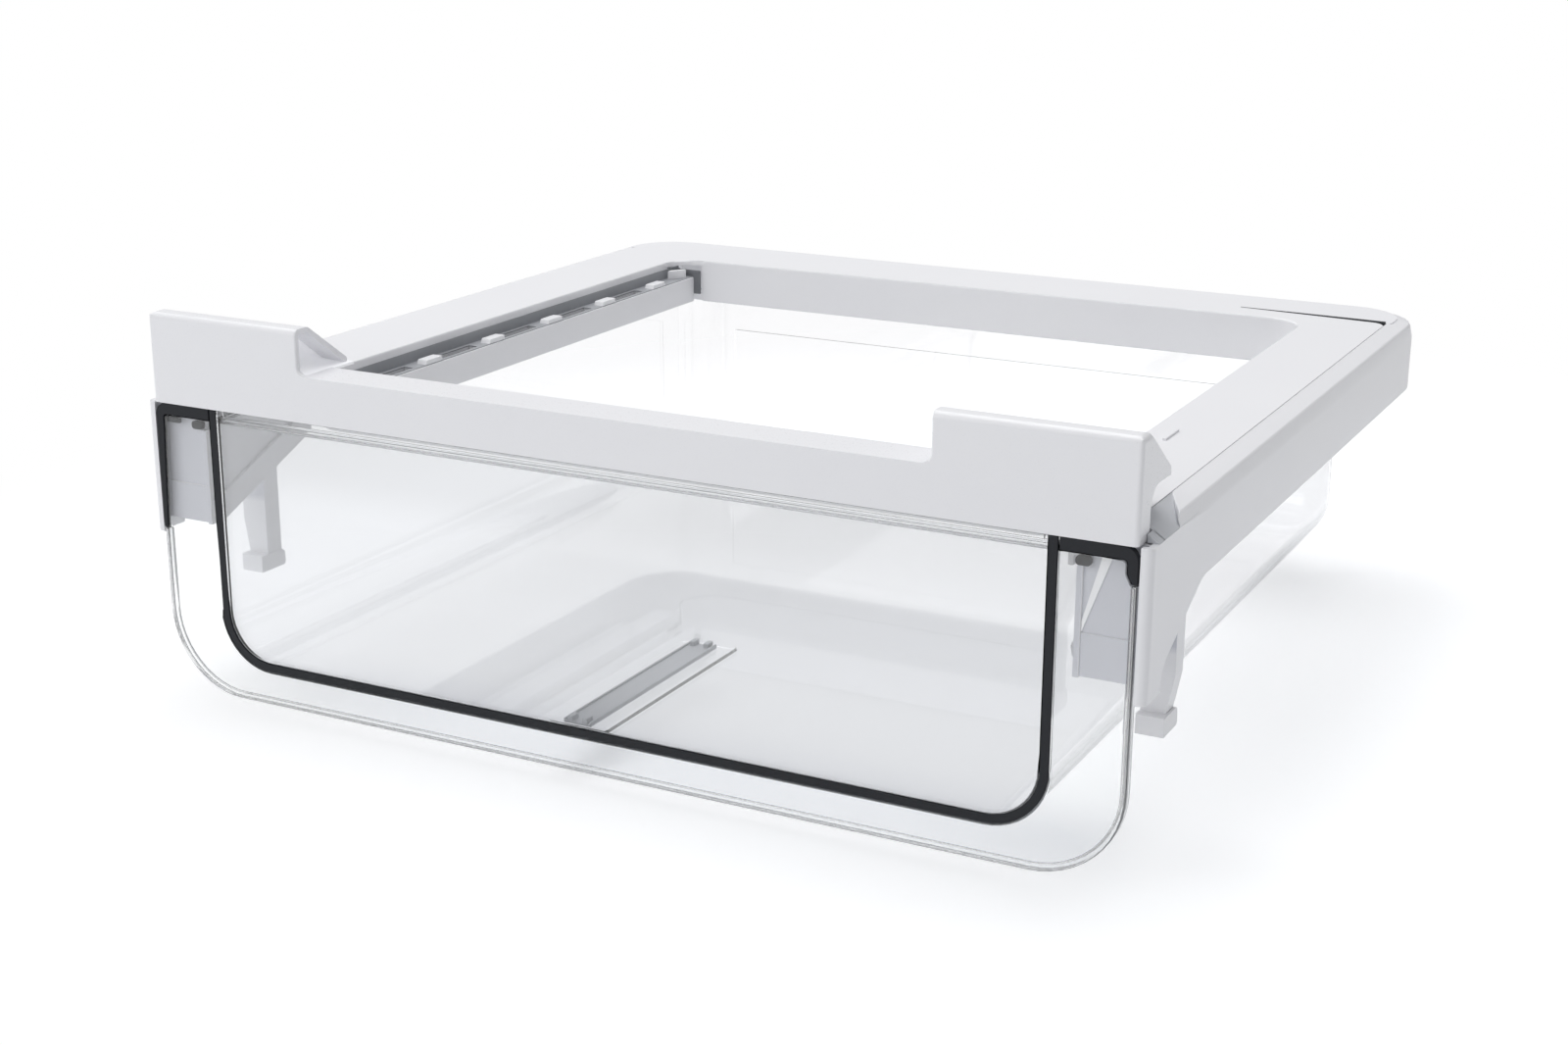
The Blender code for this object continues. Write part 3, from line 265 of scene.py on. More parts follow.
lift = add_node(
    tree, "ShaderNodeMath", {0: seen, 1: under_tub_shadow.outputs["Result"]}, operation="MULTIPLY"
)
glow = add_node(
    tree, "ShaderNodeEmission", {"Color": linear("#FFFFFF"), "Strength": lift.outputs[0]}
)
near = add_node(tree, "ShaderNodeAddShader", {0: matt.outputs[0], 1: glow.outputs[0]})
white = add_node(tree, "ShaderNodeEmission", {"Color": linear("#FFFFFF"), "Strength": 1.0})
far = add_node(tree, "ShaderNodeMath", {0: seen, 1: fade.outputs["Result"]}, operation="MULTIPLY")
open_floor = add_node(
    tree, "ShaderNodeMixShader", {0: far.outputs[0], 1: near.outputs[0], 2: white.outputs[0]}
)

# Through the panel and the tub's wall together, the floor shows a painted grey shade instead,
# lighter at the left and darker to the rear. It stands for the studio's grey surroundings.
sweep_tone = add_node(
    tree,
    "ShaderNodeMapRange",
    {
        "Value": side_place.outputs["X"],
        "From Min": -0.24,
        "From Max": -0.10,
        "To Min": SWEEP_LEFT,
        "To Max": SWEEP_RIGHT,
    },
    interpolation_type="SMOOTHSTEP",
)
rear_tone = add_node(
    tree,
    "ShaderNodeMapRange",
    {
        "Value": side_place.outputs["Y"],
        "From Min": 0.02,
        "From Max": 0.10,
        "To Min": 1.0,
        "To Max": SWEEP_REAR,
    },
    interpolation_type="SMOOTHSTEP",
)
swept = add_node(
    tree,
    "ShaderNodeMath",
    {0: sweep_tone.outputs["Result"], 1: rear_tone.outputs["Result"]},
    operation="MULTIPLY",
)
painted_grey_sweep = add_node(
    tree, "ShaderNodeEmission", {"Color": linear("#FAFBFD"), "Strength": swept.outputs[0]}
)
rays = add_node(tree, "ShaderNodeLightPath")
walls_crossed = add_node(
    tree,
    "ShaderNodeMapRange",
    {
        "Value": rays.outputs["Transmission Depth"],
        "From Min": 2.5,
        "From Max": 3.5,
        "To Max": SWEEP_COVER,
    },
)
behind_walls = add_node(
    tree,
    "ShaderNodeMath",
    {0: rays.outputs["Is Transmission Ray"], 1: walls_crossed.outputs["Result"]},
    operation="MULTIPLY",
)
both = add_node(
    tree,
    "ShaderNodeMixShader",
    {0: behind_walls.outputs[0], 1: open_floor.outputs[0], 2: painted_grey_sweep.outputs[0]},
)
add_node(tree, "ShaderNodeOutputMaterial", {"Surface": both.outputs[0]})
floor_mesh.materials.append(paper)


def softbox(name, place, aim, width, height, watts):
    """A white rectangular lamp at place, turned to aim."""
    data = bpy.data.lights.new(name, "AREA")
    data.shape = "RECTANGLE"
    data.size = width
    data.size_y = height
    data.energy = watts
    lamp = bpy.data.objects.new(name, data)
    lamp.location = place
    lamp.rotation_euler = (Vector(aim) - Vector(place)).to_track_quat("-Z", "Y").to_euler()
    bpy.context.scene.collection.objects.link(lamp)


OVERHEAD_WATTS = 28.5
FRONT_WATTS = 10.6
softbox("overhead_softbox", (-0.25, 0.35, 1.9), (0, 0.05, 0.1), 2.2, 1.8, OVERHEAD_WATTS)
softbox("front_softbox", (-0.7, -1.9, 0.9), (0, 0, 0.08), 1.6, 1.2, FRONT_WATTS)

LENS_MM = 52.06
SENSOR_MM = 36.0
CAMERA_PLACE = (0.43108, -0.88637, 0.34759)
CAMERA_TURN = (73.051, -0.248, 27.329)
camera_data = bpy.data.cameras.new("lens_52mm")
camera_data.lens = LENS_MM
camera_data.sensor_width = SENSOR_MM
camera = bpy.data.objects.new("lens_52mm", camera_data)
camera.location = CAMERA_PLACE
camera.rotation_euler = [math.radians(angle) for angle in CAMERA_TURN]
bpy.context.scene.collection.objects.link(camera)
bpy.context.scene.camera = camera

# --- Shelf frame ---
# The rim, skirt, back band and front corner plates are one injection moulding in white ABS,
# with a fine satin grain from the mould and soft edges where the mould's halves were polished.

FRAME_EDGE = 0.0007
GRAIN_MM = 0.6
FLOW_MM = 70
CREASE_DEGREES = 14
FLAT_DEGREES = 0.6
JOIN = 4e-6
ROOM_ROUNDS = 5
SHARP_TURN = 0.6
ROOM_FOR_BOTH = 2.1
ROOM_PER_TURN = 1.3
ROOM_FOR_ONE = 1.15
TANGLE_REACH = 2.5
LEAN_DEGREES = 48
KEEN_DEGREES = 25


def edges_with_room(solid, keen, reach):
    """The keen edges whose faces leave room to round them by reach, with their neighbours."""
    keep = set(keen)
    for _ in range(ROOM_ROUNDS):
        cramped = set()
        for edge in keep:
            for loop in edge.link_loops:
                ahead = (loop.link_loop_next.vert.co - loop.vert.co).normalized()
                after, before = loop.link_loop_next, loop.link_loop_prev
                for near, turn in (
                    (after.edge, ahead.angle(after.link_loop_next.vert.co - after.vert.co, 0)),
                    (before.edge, ahead.angle(loop.vert.co - before.vert.co, 0)),
                ):
                    if near in keep:
                        room = ROOM_FOR_BOTH if turn > SHARP_TURN else ROOM_PER_TURN * turn
                    else:
                        room = ROOM_FOR_ONE if turn > SHARP_TURN else 0
                    if near.calc_length() < room * reach:
                        cramped.add(edge)
        if not cramped:
            break
        keep -= cramped
    return list(keep)


def crossings(face):
    """Places where the face's outline runs over itself."""
    flat = max(range(3), key=lambda axis: abs(face.normal[axis]))
    first, second = [axis for axis in range(3) if axis != flat]
    points = [v.co for v in face.verts]
    count = len(points)
    found = []
    for i in range(count):
        a, b = points[i], points[(i + 1) % count]
        for j in range(i + 2, count - (i == 0)):
            c, d = points[j], points[(j + 1) % count]
            if any(
                max(a[axis], b[axis]) < min(c[axis], d[axis])
                or max(c[axis], d[axis]) < min(a[axis], b[axis])
                for axis in (first, second)
            ):
                continue
            along = (b[first] - a[first], b[second] - a[second])
            other = (d[first] - c[first], d[second] - c[second])
            turn = along[0] * other[1] - along[1] * other[0]
            if abs(turn) < 1e-14:
                continue
            gap = (c[first] - a[first], c[second] - a[second])
            share = (gap[0] * other[1] - gap[1] * other[0]) / turn
            other_share = (gap[0] * along[1] - gap[1] * along[0]) / turn
            if 0 < share < 1 and 0 < other_share < 1:
                found.append(a.lerp(b, share))
    return found


def distance_to(spot, start, end):
    """How far spot lies from the straight line between start and end."""
    along = end - start
    share = max(0, min(1, (spot - start).dot(along) / max(along.length_squared, 1e-12)))
    return (spot - start - along * share).length


def lean_normals(mesh, reach):
    """Corner normals: a face leans to the faces within reach of it, the larger of them the more."""
    around = [[] for _ in mesh.vertices]
    for face in mesh.polygons:
        for vertex in face.vertices:
            around[vertex].append(face.index)
    facing = [face.normal.copy() for face in mesh.polygons]
    areas = [face.area for face in mesh.polygons]
    limit = math.cos(math.radians(reach))
    corners = [None] * len(mesh.loops)
    for face in mesh.polygons:
        own = facing[face.index]
        for corner, vertex in zip(face.loop_indices, face.vertices):
            total = Vector()
            for other in around[vertex]:
                if facing[other].dot(own) > limit:
                    total += facing[other] * areas[other]
            corners[corner] = total.normalized() if total.length else own
    mesh.normals_split_custom_set(corners)


def piece_from(solid, mesh, name):
    """The finished solid as a new object, smooth shaded by its leaning normals."""
    for face in solid.faces:
        face.smooth = True
    solid.to_mesh(mesh)
    solid.free()
    lean_normals(mesh, LEAN_DEGREES)
    piece = bpy.data.objects.new(name, mesh)
    bpy.context.scene.collection.objects.link(piece)
    return piece


def smooth_copy(node, name, edge, segments=2, shape=None, plain=None):
    """The node's solid as one welded mesh with rounded edges, ready to take the node's place.

    shape moves vertices first, and plain says which edges stay sharp because they meet a seam. An
    edge whose rounding would fold a face over itself stays sharp too."""
    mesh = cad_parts[node].data.copy()
    mesh.name = name
    mesh.materials.clear()
    solid = bmesh.new()
    solid.from_mesh(mesh)
    bmesh.ops.remove_doubles(solid, verts=solid.verts, dist=JOIN)
    bmesh.ops.dissolve_degenerate(solid, edges=solid.edges, dist=JOIN)
    bmesh.ops.dissolve_limit(
        solid, angle_limit=math.radians(FLAT_DEGREES), verts=solid.verts, edges=solid.edges
    )
    bmesh.ops.recalc_face_normals(solid, faces=solid.faces)
    if shape:
        for vertex in solid.verts:
            vertex.co = shape(vertex.co.copy())
    sharp = math.radians(CREASE_DEGREES)
    keen = [
        e
        for e in solid.edges
        if e.is_manifold and e.calc_face_angle(0) > sharp and not (plain and plain(e))
    ]
    chosen = {e.index for e in edges_with_room(solid, keen, edge)}
    ends = {e.index: [v.co.copy() for v in e.verts] for e in solid.edges}
    while True:
        trial = solid.copy()
        trial.edges.ensure_lookup_table()
        bmesh.ops.bevel(
            trial,
            geom=[trial.edges[index] for index in sorted(chosen)],
            offset=edge,
            offset_type="OFFSET",
            segments=segments,
            profile=0.5,
            affect="EDGES",
            clamp_overlap=False,
            loop_slide=True,
        )
        tangles = [spot for face in trial.faces for spot in crossings(face)]
        close = {
            index
            for index in chosen
            for spot in tangles
            if distance_to(spot, *ends[index]) < TANGLE_REACH * edge
        }
        if not close:
            break
        trial.free()
        chosen -= close
    solid.free()
    bmesh.ops.remove_doubles(trial, verts=trial.verts, dist=JOIN)
    return piece_from(trial, mesh, name)


def finish_piece(piece, body, material):
    """Gives the piece its finish and lets it move with its body."""
    piece.data.materials.append(material)
    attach(piece, body)


def place(piece, body, slot, material, *nodes):
    """The same for a piece that takes the place of nodes."""
    finish_piece(piece, body, material)
    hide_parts(*nodes)


def new_material(name):
    made = bpy.data.materials.new(name)
    made.use_nodes = True
    made.node_tree.nodes.clear()
    return made


def satin_white_abs(name, colour, deeper, rough):
    """ABS, moulded white: an even milky body, satin sheen, faint flow tone and a fine grain."""
    made = new_material(name)
    tree = made.node_tree
    spot = add_node(tree, "ShaderNodeTexCoord").outputs["Object"]
    flow = add_node(
        tree,
        "ShaderNodeTexNoise",
        {"Vector": spot, "Scale": 1000 / FLOW_MM, "Detail": 2.0, "Roughness": 0.4},
    )
    grain = add_node(
        tree,
        "ShaderNodeTexNoise",
        {"Vector": spot, "Scale": 1000 / GRAIN_MM, "Detail": 3.0, "Roughness": 0.6},
    )
    tone = add_node(
        tree,
        "ShaderNodeMix",
        {"Factor": flow.outputs["Fac"], 6: linear(deeper), 7: linear(colour)},
        data_type="RGBA",
    )
    sheen = add_node(
        tree,
        "ShaderNodeMapRange",
        {"Value": grain.outputs["Fac"], "To Min": rough - 0.02, "To Max": rough + 0.02},
    )
    bump = add_node(
        tree,
        "ShaderNodeBump",
        {"Height": grain.outputs["Fac"], "Strength": 0.01, "Distance": 0.0001},
    )
    body = add_node(
        tree,
        "ShaderNodeBsdfPrincipled",
        {
            "Base Color": tone.outputs[2],
            "Roughness": sheen.outputs["Result"],
            "IOR": 1.5,
            "Specular IOR Level": 0.45,
            "Normal": bump.outputs["Normal"],
        },
    )
    add_node(tree, "ShaderNodeOutputMaterial", {"Surface": body.outputs[0]})
    return made


white_abs = satin_white_abs("white_abs_moulded_satin", "#EFEFF1", "#ECECEF", 0.34)


def both_ends(edge, test):
    """Whether both of the edge's corners pass the test."""
    return all(test(vertex.co) for vertex in edge.verts)


RIDGE_LEVEL = 0.1265
RIDGE_TUCK = 0.0007
RIDGE_RADIUS = 0.031
RIDGE_SIDE = 0.214
RIDGE_REAR = 0.203
REAR_CENTRE = Vector((0.183, 0.1719))
SEAM_LINE = 0.2055
SEAM_FOOT = 0.128
PLATE_TOP = 0.1234


def tucked_ridge(co):
    """Draws the ridge under the rim's slope in a little, so that the band below it leans back."""
    if abs(co.z - RIDGE_LEVEL) < 0.0001:
        if abs(co.x) > REAR_CENTRE.x and co.y > REAR_CENTRE.y:
            centre = Vector((math.copysign(REAR_CENTRE.x, co.x), REAR_CENTRE.y))
            out = Vector((co.x, co.y)) - centre
            if out.length > RIDGE_RADIUS:
                co.x, co.y = centre + out.normalized() * (out.length - RIDGE_TUCK)
        elif abs(co.x) > RIDGE_SIDE:
            co.x -= math.copysign(RIDGE_TUCK, co.x)
        elif co.y > RIDGE_REAR:
            co.y -= RIDGE_TUCK
    return co


def on_frame_seam(edge):
    """Edges at the deck's seam and round the tops of the front corner plates."""
    at_deck = both_ends(
        edge, lambda co: abs(abs(co.x) - SEAM_LINE) < 0.0001 and co.z > SEAM_FOOT
    )
    return at_deck or both_ends(edge, lambda co: abs(co.z - PLATE_TOP) < 0.0002)


rim = smooth_copy(
    "shelf_frame", "rim_and_skirt", FRAME_EDGE, shape=tucked_ridge, plain=on_frame_seam
)
place(rim, "frame", "white_plastic", white_abs, "shelf_frame")


def solid_from(name, points, faces, edge=0):
    """A new closed mesh piece from its corners, with its edges rounded by edge."""
    mesh = bpy.data.meshes.new(name)
    solid = bmesh.new()
    corners = [solid.verts.new(point) for point in points]
    for face in faces:
        solid.faces.new([corners[index] for index in face])
    bmesh.ops.recalc_face_normals(solid, faces=solid.faces)
    if edge:
        keen = [e for e in solid.edges if e.calc_face_angle(0) > math.radians(KEEN_DEGREES)]
        bmesh.ops.bevel(
            solid,
            geom=keen,
            offset=edge,
            offset_type="OFFSET",
            segments=2,
            profile=0.5,
            affect="EDGES",
        )
    return piece_from(solid, mesh, name)


def prism(name, outline, near, far, edge=0):
    """A flat outline drawn out between two ends: near and far place its points at each end."""
    count = len(outline)
    points = [near(*point) for point in outline] + [far(*point) for point in outline]
    faces = [tuple(range(count)), tuple(range(2 * count - 1, count - 1, -1))]
    faces += [(i, (i + 1) % count, (i + 1) % count + count, i + count) for i in range(count)]
    return solid_from(name, points, faces, edge)


# A matt ramp at each side leads from the grip's end up to the start of the rim; its grey is painted
# shade on the white ABS. Its low toe lies outside the grip, and its slope begins behind the grip's
# wall.
root_painted_shade_abs = satin_white_abs("white_abs_root_painted_shade", "#CDCFD3", "#C9CBCF", 0.5)
ROOT_OUT = 0.2149
ROOT_IN = 0.2056
ROOT_CLEAR = 0.2106
ROOT_FOOT = 0.12345
ROOT_HEAD = 0.1298
ROOT_START = -0.1964
ROOT_PAST_GRIP = -0.1912
ROOT_LAP = 0.001
ROOT_END = -0.1540
for side, sign in (("left", -1), ("right", 1)):
    toe_share = (ROOT_OUT - ROOT_CLEAR) / (ROOT_OUT - ROOT_IN)
    head = ROOT_FOOT + toe_share * (ROOT_HEAD - ROOT_FOOT)
    low_end = [(ROOT_CLEAR, ROOT_FOOT), (ROOT_OUT, ROOT_FOOT), (ROOT_CLEAR, head)]
    high_end = [(ROOT_IN, ROOT_FOOT), (ROOT_OUT, ROOT_FOOT), (ROOT_IN, ROOT_HEAD)]
    for part, outline, start, end in (
        ("toe", low_end, ROOT_START, ROOT_PAST_GRIP + ROOT_LAP),
        ("slope", high_end, ROOT_PAST_GRIP, ROOT_END),
    ):
        root = prism(
            f"rim_root_{part}_{side}",
            outline,
            lambda x, z, s=sign, y=start: (s * x, y, z),
            lambda x, z, s=sign, y=end: (s * x, y, z),
        )
        finish_piece(root, "frame", root_painted_shade_abs)

# --- Deck ---
# The flat top round the pane window is its own moulding, snapped inside the rim, with
# rolled lips on the window's edges and plain walls that drop from them.

DECK_EDGE = 0.0010
DECK_SIDE = 0.2052
SLIT_FROM = 0.110
SLIT_TO = 0.205
SLIT_WIDENED = 0.0022
SEAM_TAKEN = 0.00024
REAR_STRIP = 0.156


def wider_slit(co):
    """Draws the deck's rear edge forward towards the right, and closes the seams at its sides."""
    if abs(abs(co.x) - DECK_SIDE) < 0.0001:
        co.x = math.copysign(DECK_SIDE + SEAM_TAKEN, co.x)
    if co.y > REAR_STRIP and co.x > SLIT_FROM:
        co.y -= SLIT_WIDENED * min(1, (co.x - SLIT_FROM) / (SLIT_TO - SLIT_FROM))
    return co


def on_deck_seam(edge):
    """Edges that meet the rim or the back band."""
    return both_ends(edge, lambda co: abs(abs(co.x) - DECK_SIDE) < 0.0004 or co.y > REAR_STRIP)


deck = smooth_copy("deck", "window_deck", DECK_EDGE, 3, shape=wider_slit, plain=on_deck_seam)
place(deck, "frame", "white_plastic", white_abs, "deck")

# A dark sheet lies over the widening slit between the deck and the back band: a painted shadow,
# with a dull, faintly mottled skin.
SLIT_SHADOW_TOP = 0.13042
SLIT_SHADOW_FOOT = 0.1290
SLIT_SHADOW_OUTLINE = [(0.1350, 0.16590), (0.2046, 0.16130), (0.2047, 0.16420), (0.1700, 0.16520)]
MOTTLE_MM = 0.8
slit_shadow_material = new_material("painted_slit_shadow")
tree = slit_shadow_material.node_tree
spot = add_node(tree, "ShaderNodeTexCoord").outputs["Object"]
mottle = add_node(
    tree, "ShaderNodeTexNoise", {"Vector": spot, "Scale": 1000 / MOTTLE_MM, "Detail": 2.0}
)
tone = add_node(
    tree,
    "ShaderNodeMix",
    {"Factor": mottle.outputs["Fac"], 6: linear("#2C2E31"), 7: linear("#3E4043")},
    data_type="RGBA",
)
dull = add_node(
    tree, "ShaderNodeMapRange", {"Value": mottle.outputs["Fac"], "To Min": 0.55, "To Max": 0.75}
)
body = add_node(
    tree,
    "ShaderNodeBsdfPrincipled",
    {
        "Base Color": tone.outputs[2],
        "Roughness": dull.outputs["Result"],
        "IOR": 1.52,
        "Specular IOR Level": 0.3,
    },
)
add_node(tree, "ShaderNodeOutputMaterial", {"Surface": body.outputs[0]})
slit_shadow_sheet = prism(
    "rear_slit_painted_shadow",
    SLIT_SHADOW_OUTLINE,
    lambda x, y: (x, y, SLIT_SHADOW_FOOT),
    lambda x, y: (x, y, SLIT_SHADOW_TOP),
)
finish_piece(slit_shadow_sheet, "frame", slit_shadow_material)

# --- Pane channel and clips ---
# A slotted ledge along the window's left side, with small clips that carry the glass pane's edge.
# Same white ABS as the frame, moulded with crisp edges.

CHANNEL_EDGE = 0.0004
channel = smooth_copy("pane_channel", "slotted_channel", CHANNEL_EDGE)
place(channel, "frame", "white_plastic", white_abs, "pane_channel")

# The pane rests on a grey strip whose grey is painted shade for the recess: an L along the ledge
# and up the window's wall, with a slot cut between each two clips that is painted darker for its
# shadow.
SHADE_STRIP_WALL = -0.1654
SHADE_STRIP_THICK = 0.0004
SHADE_STRIP_RISE = 0.0052
SHADE_STRIP_IN = -0.1562
SLOT_OUT = -0.1630
SLOT_IN = -0.1582
CLIP_GAP = 0.0012
SLOT_FOOT = -0.0016
SLOT_FLOOR = -0.0012
# Painted shade: the strip grey for the shaded recess, the slots darker for their shadow.
grey_shade_strip = satin_white_abs("grey_painted_channel_shade", "#A7A9AD", "#999BA0", 0.55)
slot_shade = satin_white_abs("grey_painted_slot_shade", "#7C7E82", "#737579", 0.6)
channel_low, channel_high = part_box("pane_channel")
ledge = channel_high[2]
clips = [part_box(f"pane_clip_{number}") for number in range(1, 6)]
starts = [low[1] for low, high in clips]
pitch = starts[1] - starts[0]
clip_length = clips[0][1][1] - starts[0]
slots = [(start - pitch + clip_length + CLIP_GAP, start - CLIP_GAP) for start in starts]
channel_start, channel_end = channel_low[1], channel_high[1]
bars = [
    ("wall", SHADE_STRIP_WALL, SHADE_STRIP_WALL + SHADE_STRIP_THICK, channel_start, channel_end, SHADE_STRIP_RISE),
    ("outer", SHADE_STRIP_WALL, SLOT_OUT, channel_start, channel_end, SHADE_STRIP_THICK),
    ("inner", SLOT_IN, SHADE_STRIP_IN, channel_start, channel_end, SHADE_STRIP_THICK),
]
bridge_ends = [channel_start] + [edge for slot in slots for edge in slot] + [channel_end]
for number in range(0, len(bridge_ends), 2):
    start, end = bridge_ends[number : number + 2]
    bars.append((f"bridge_{number // 2}", SLOT_OUT, SLOT_IN, start, end, SHADE_STRIP_THICK))
for number, (start, end) in enumerate(slots):
    bars.append((f"slot_{number}", SLOT_OUT, SLOT_IN, start, end, SLOT_FLOOR))
for name, left, right, start, end, rise in bars:
    sunk = rise < 0
    low_z = ledge + SLOT_FOOT if sunk else ledge
    high_z = ledge + rise
    bar = prism(
        f"pane_channel_shade_{name}",
        [(left, low_z), (right, low_z), (right, high_z), (left, high_z)],
        lambda x, z, y=start: (x, y, z),
        lambda x, z, y=end: (x, y, z),
    )
    finish_piece(bar, "frame", slot_shade if sunk else grey_shade_strip)

# Each rest is a low tab with a short ramp at its front.
REST_SHARE = 0.62
REST_RAMP = 0.0012
REST_TOP = 0.0021
REST_EDGE = 0.0003
for number, (low_corner, high_corner) in enumerate(clips, 1):
    front = high_corner[1] - clip_length * REST_SHARE
    foot = low_corner[2]
    rest = prism(
        f"pane_rest_{number}",
        [
            (front - REST_RAMP, foot),
            (high_corner[1], foot),
            (high_corner[1], foot + REST_TOP),
            (front, foot + REST_TOP),
        ],
        lambda y, z, x=low_corner[0]: (x, y, z),
        lambda y, z, x=high_corner[0]: (x, y, z),
        REST_EDGE,
    )
    place(rest, "frame", "white_plastic", white_abs, f"pane_clip_{number}")

# A soft pad fills the rear left corner behind the spring clip; its grey is the slots' painted
# shade.
PAD_LEFT = -0.1653
PAD_RIGHT = -0.1522
PAD_FRONT = 0.1412
PAD_BEND = 0.1462
PAD_REAR = 0.1487
PAD_THICK = 0.0014
PAD_BEND_THICK = 0.0022
PAD_END_THICK = 0.0012
PAD_LOW = 0.009
PAD_HIGH = 0.0034
PAD_EDGE = 0.0003
pad = prism(
    "rear_corner_pad",
    [
        (PAD_LEFT, PAD_FRONT),
        (PAD_LEFT + PAD_THICK, PAD_FRONT),
        (PAD_LEFT + PAD_BEND_THICK, PAD_BEND),
        (PAD_RIGHT, PAD_REAR - PAD_END_THICK),
        (PAD_RIGHT, PAD_REAR),
        (PAD_LEFT, PAD_REAR),
    ],
    lambda x, y: (x, y, ledge - PAD_LOW),
    lambda x, y: (x, y, ledge + PAD_HIGH),
    PAD_EDGE,
)
finish_piece(pad, "frame", slot_shade)

CORNER_CLIP_EDGE = 0.0003
corner_clip = smooth_copy("corner_clip", "corner_spring_clip", CORNER_CLIP_EDGE)
place(corner_clip, "frame", "white_plastic", white_abs, "corner_clip")

# --- Rails and brackets ---
# The runner shelves under the deck and the ribbed brackets with their legs hang from the frame,
# moulded in the same white ABS with thinner walls. The brackets' front webs get painted shade:
# greyer where they face the front above WEB_LOW.

RAIL_EDGE = 0.0004
BRACKET_EDGE = 0.00025
WEB_LOW = 0.070
WEB_BLEND = 0.003
bracket_abs = satin_white_abs("white_abs_bracket_painted_shade", "#EFEFF1", "#ECECEF", 0.34)
tree = bracket_abs.node_tree
shader = next(node for node in tree.nodes if node.type == "BSDF_PRINCIPLED")
milky = shader.inputs["Base Color"].links[0].from_socket
# Painted shade: faces turned to the front, above WEB_LOW, mix towards a grey.
faces_to = add_node(
    tree, "ShaderNodeSeparateXYZ", {0: add_node(tree, "ShaderNodeNewGeometry").outputs["Normal"]}
)
to_front = add_node(
    tree,
    "ShaderNodeMapRange",
    {"Value": faces_to.outputs["Y"], "From Min": -0.85, "From Max": -0.98},
)
height = add_node(
    tree, "ShaderNodeSeparateXYZ", {0: add_node(tree, "ShaderNodeTexCoord").outputs["Object"]}
)
high_up = add_node(
    tree,
    "ShaderNodeMapRange",
    {"Value": height.outputs["Z"], "From Min": WEB_LOW, "From Max": WEB_LOW + WEB_BLEND},
)
web_shade_share = add_node(
    tree,
    "ShaderNodeMath",
    {0: to_front.outputs["Result"], 1: high_up.outputs["Result"]},
    operation="MULTIPLY",
)
web_painted_shade = add_node(
    tree,
    "ShaderNodeMix",
    {"Factor": web_shade_share.outputs[0], 6: milky, 7: linear("#CFD0D7")},
    data_type="RGBA",
)
tree.links.new(web_painted_shade.outputs[2], shader.inputs["Base Color"])
for side in ("left", "right"):
    rail = smooth_copy(f"rail_{side}", f"runner_{side}", RAIL_EDGE)
    place(rail, "frame", "white_plastic", white_abs, f"rail_{side}")
    bracket = smooth_copy(f"bracket_{side}", f"ribbed_bracket_{side}", BRACKET_EDGE)
    place(bracket, "frame", "white_plastic", bracket_abs, f"bracket_{side}")

# The right web's diagonal rib has a face of painted highlight, whiter and glossier than the web.
RIB_FRONT = -0.1975
RIB_FACE = 0.0003
RIB_OUTLINE = [(0.1899, 0.0894), (0.2018, 0.1225), (0.1978, 0.1225), (0.1899, 0.0934)]
rib_highlight_abs = satin_white_abs("white_abs_painted_rib_highlight", "#FCFCFD", "#F8F8FA", 0.22)
rib = prism(
    "diagonal_rib_painted_highlight",
    RIB_OUTLINE,
    lambda x, z: (x, RIB_FRONT, z),
    lambda x, z: (x, RIB_FRONT - RIB_FACE, z),
)
finish_piece(rib, "frame", rib_highlight_abs)

# --- Drawer tub ---
# Crystal-clear polystyrene, injection moulded and polished: it bends light at its rounded corners
# and thick edges, mirrors at a low angle, and has a very faint waviness from the flow of the melt.

TUB_EDGE = 0.0005
WAVE_MM = 28
EDGE_SATIN = 0.35
LIP_TOP, LIP_FOOT = 0.034, 0.012
LIP_LEFT, LIP_RIGHT = -0.19, -0.08


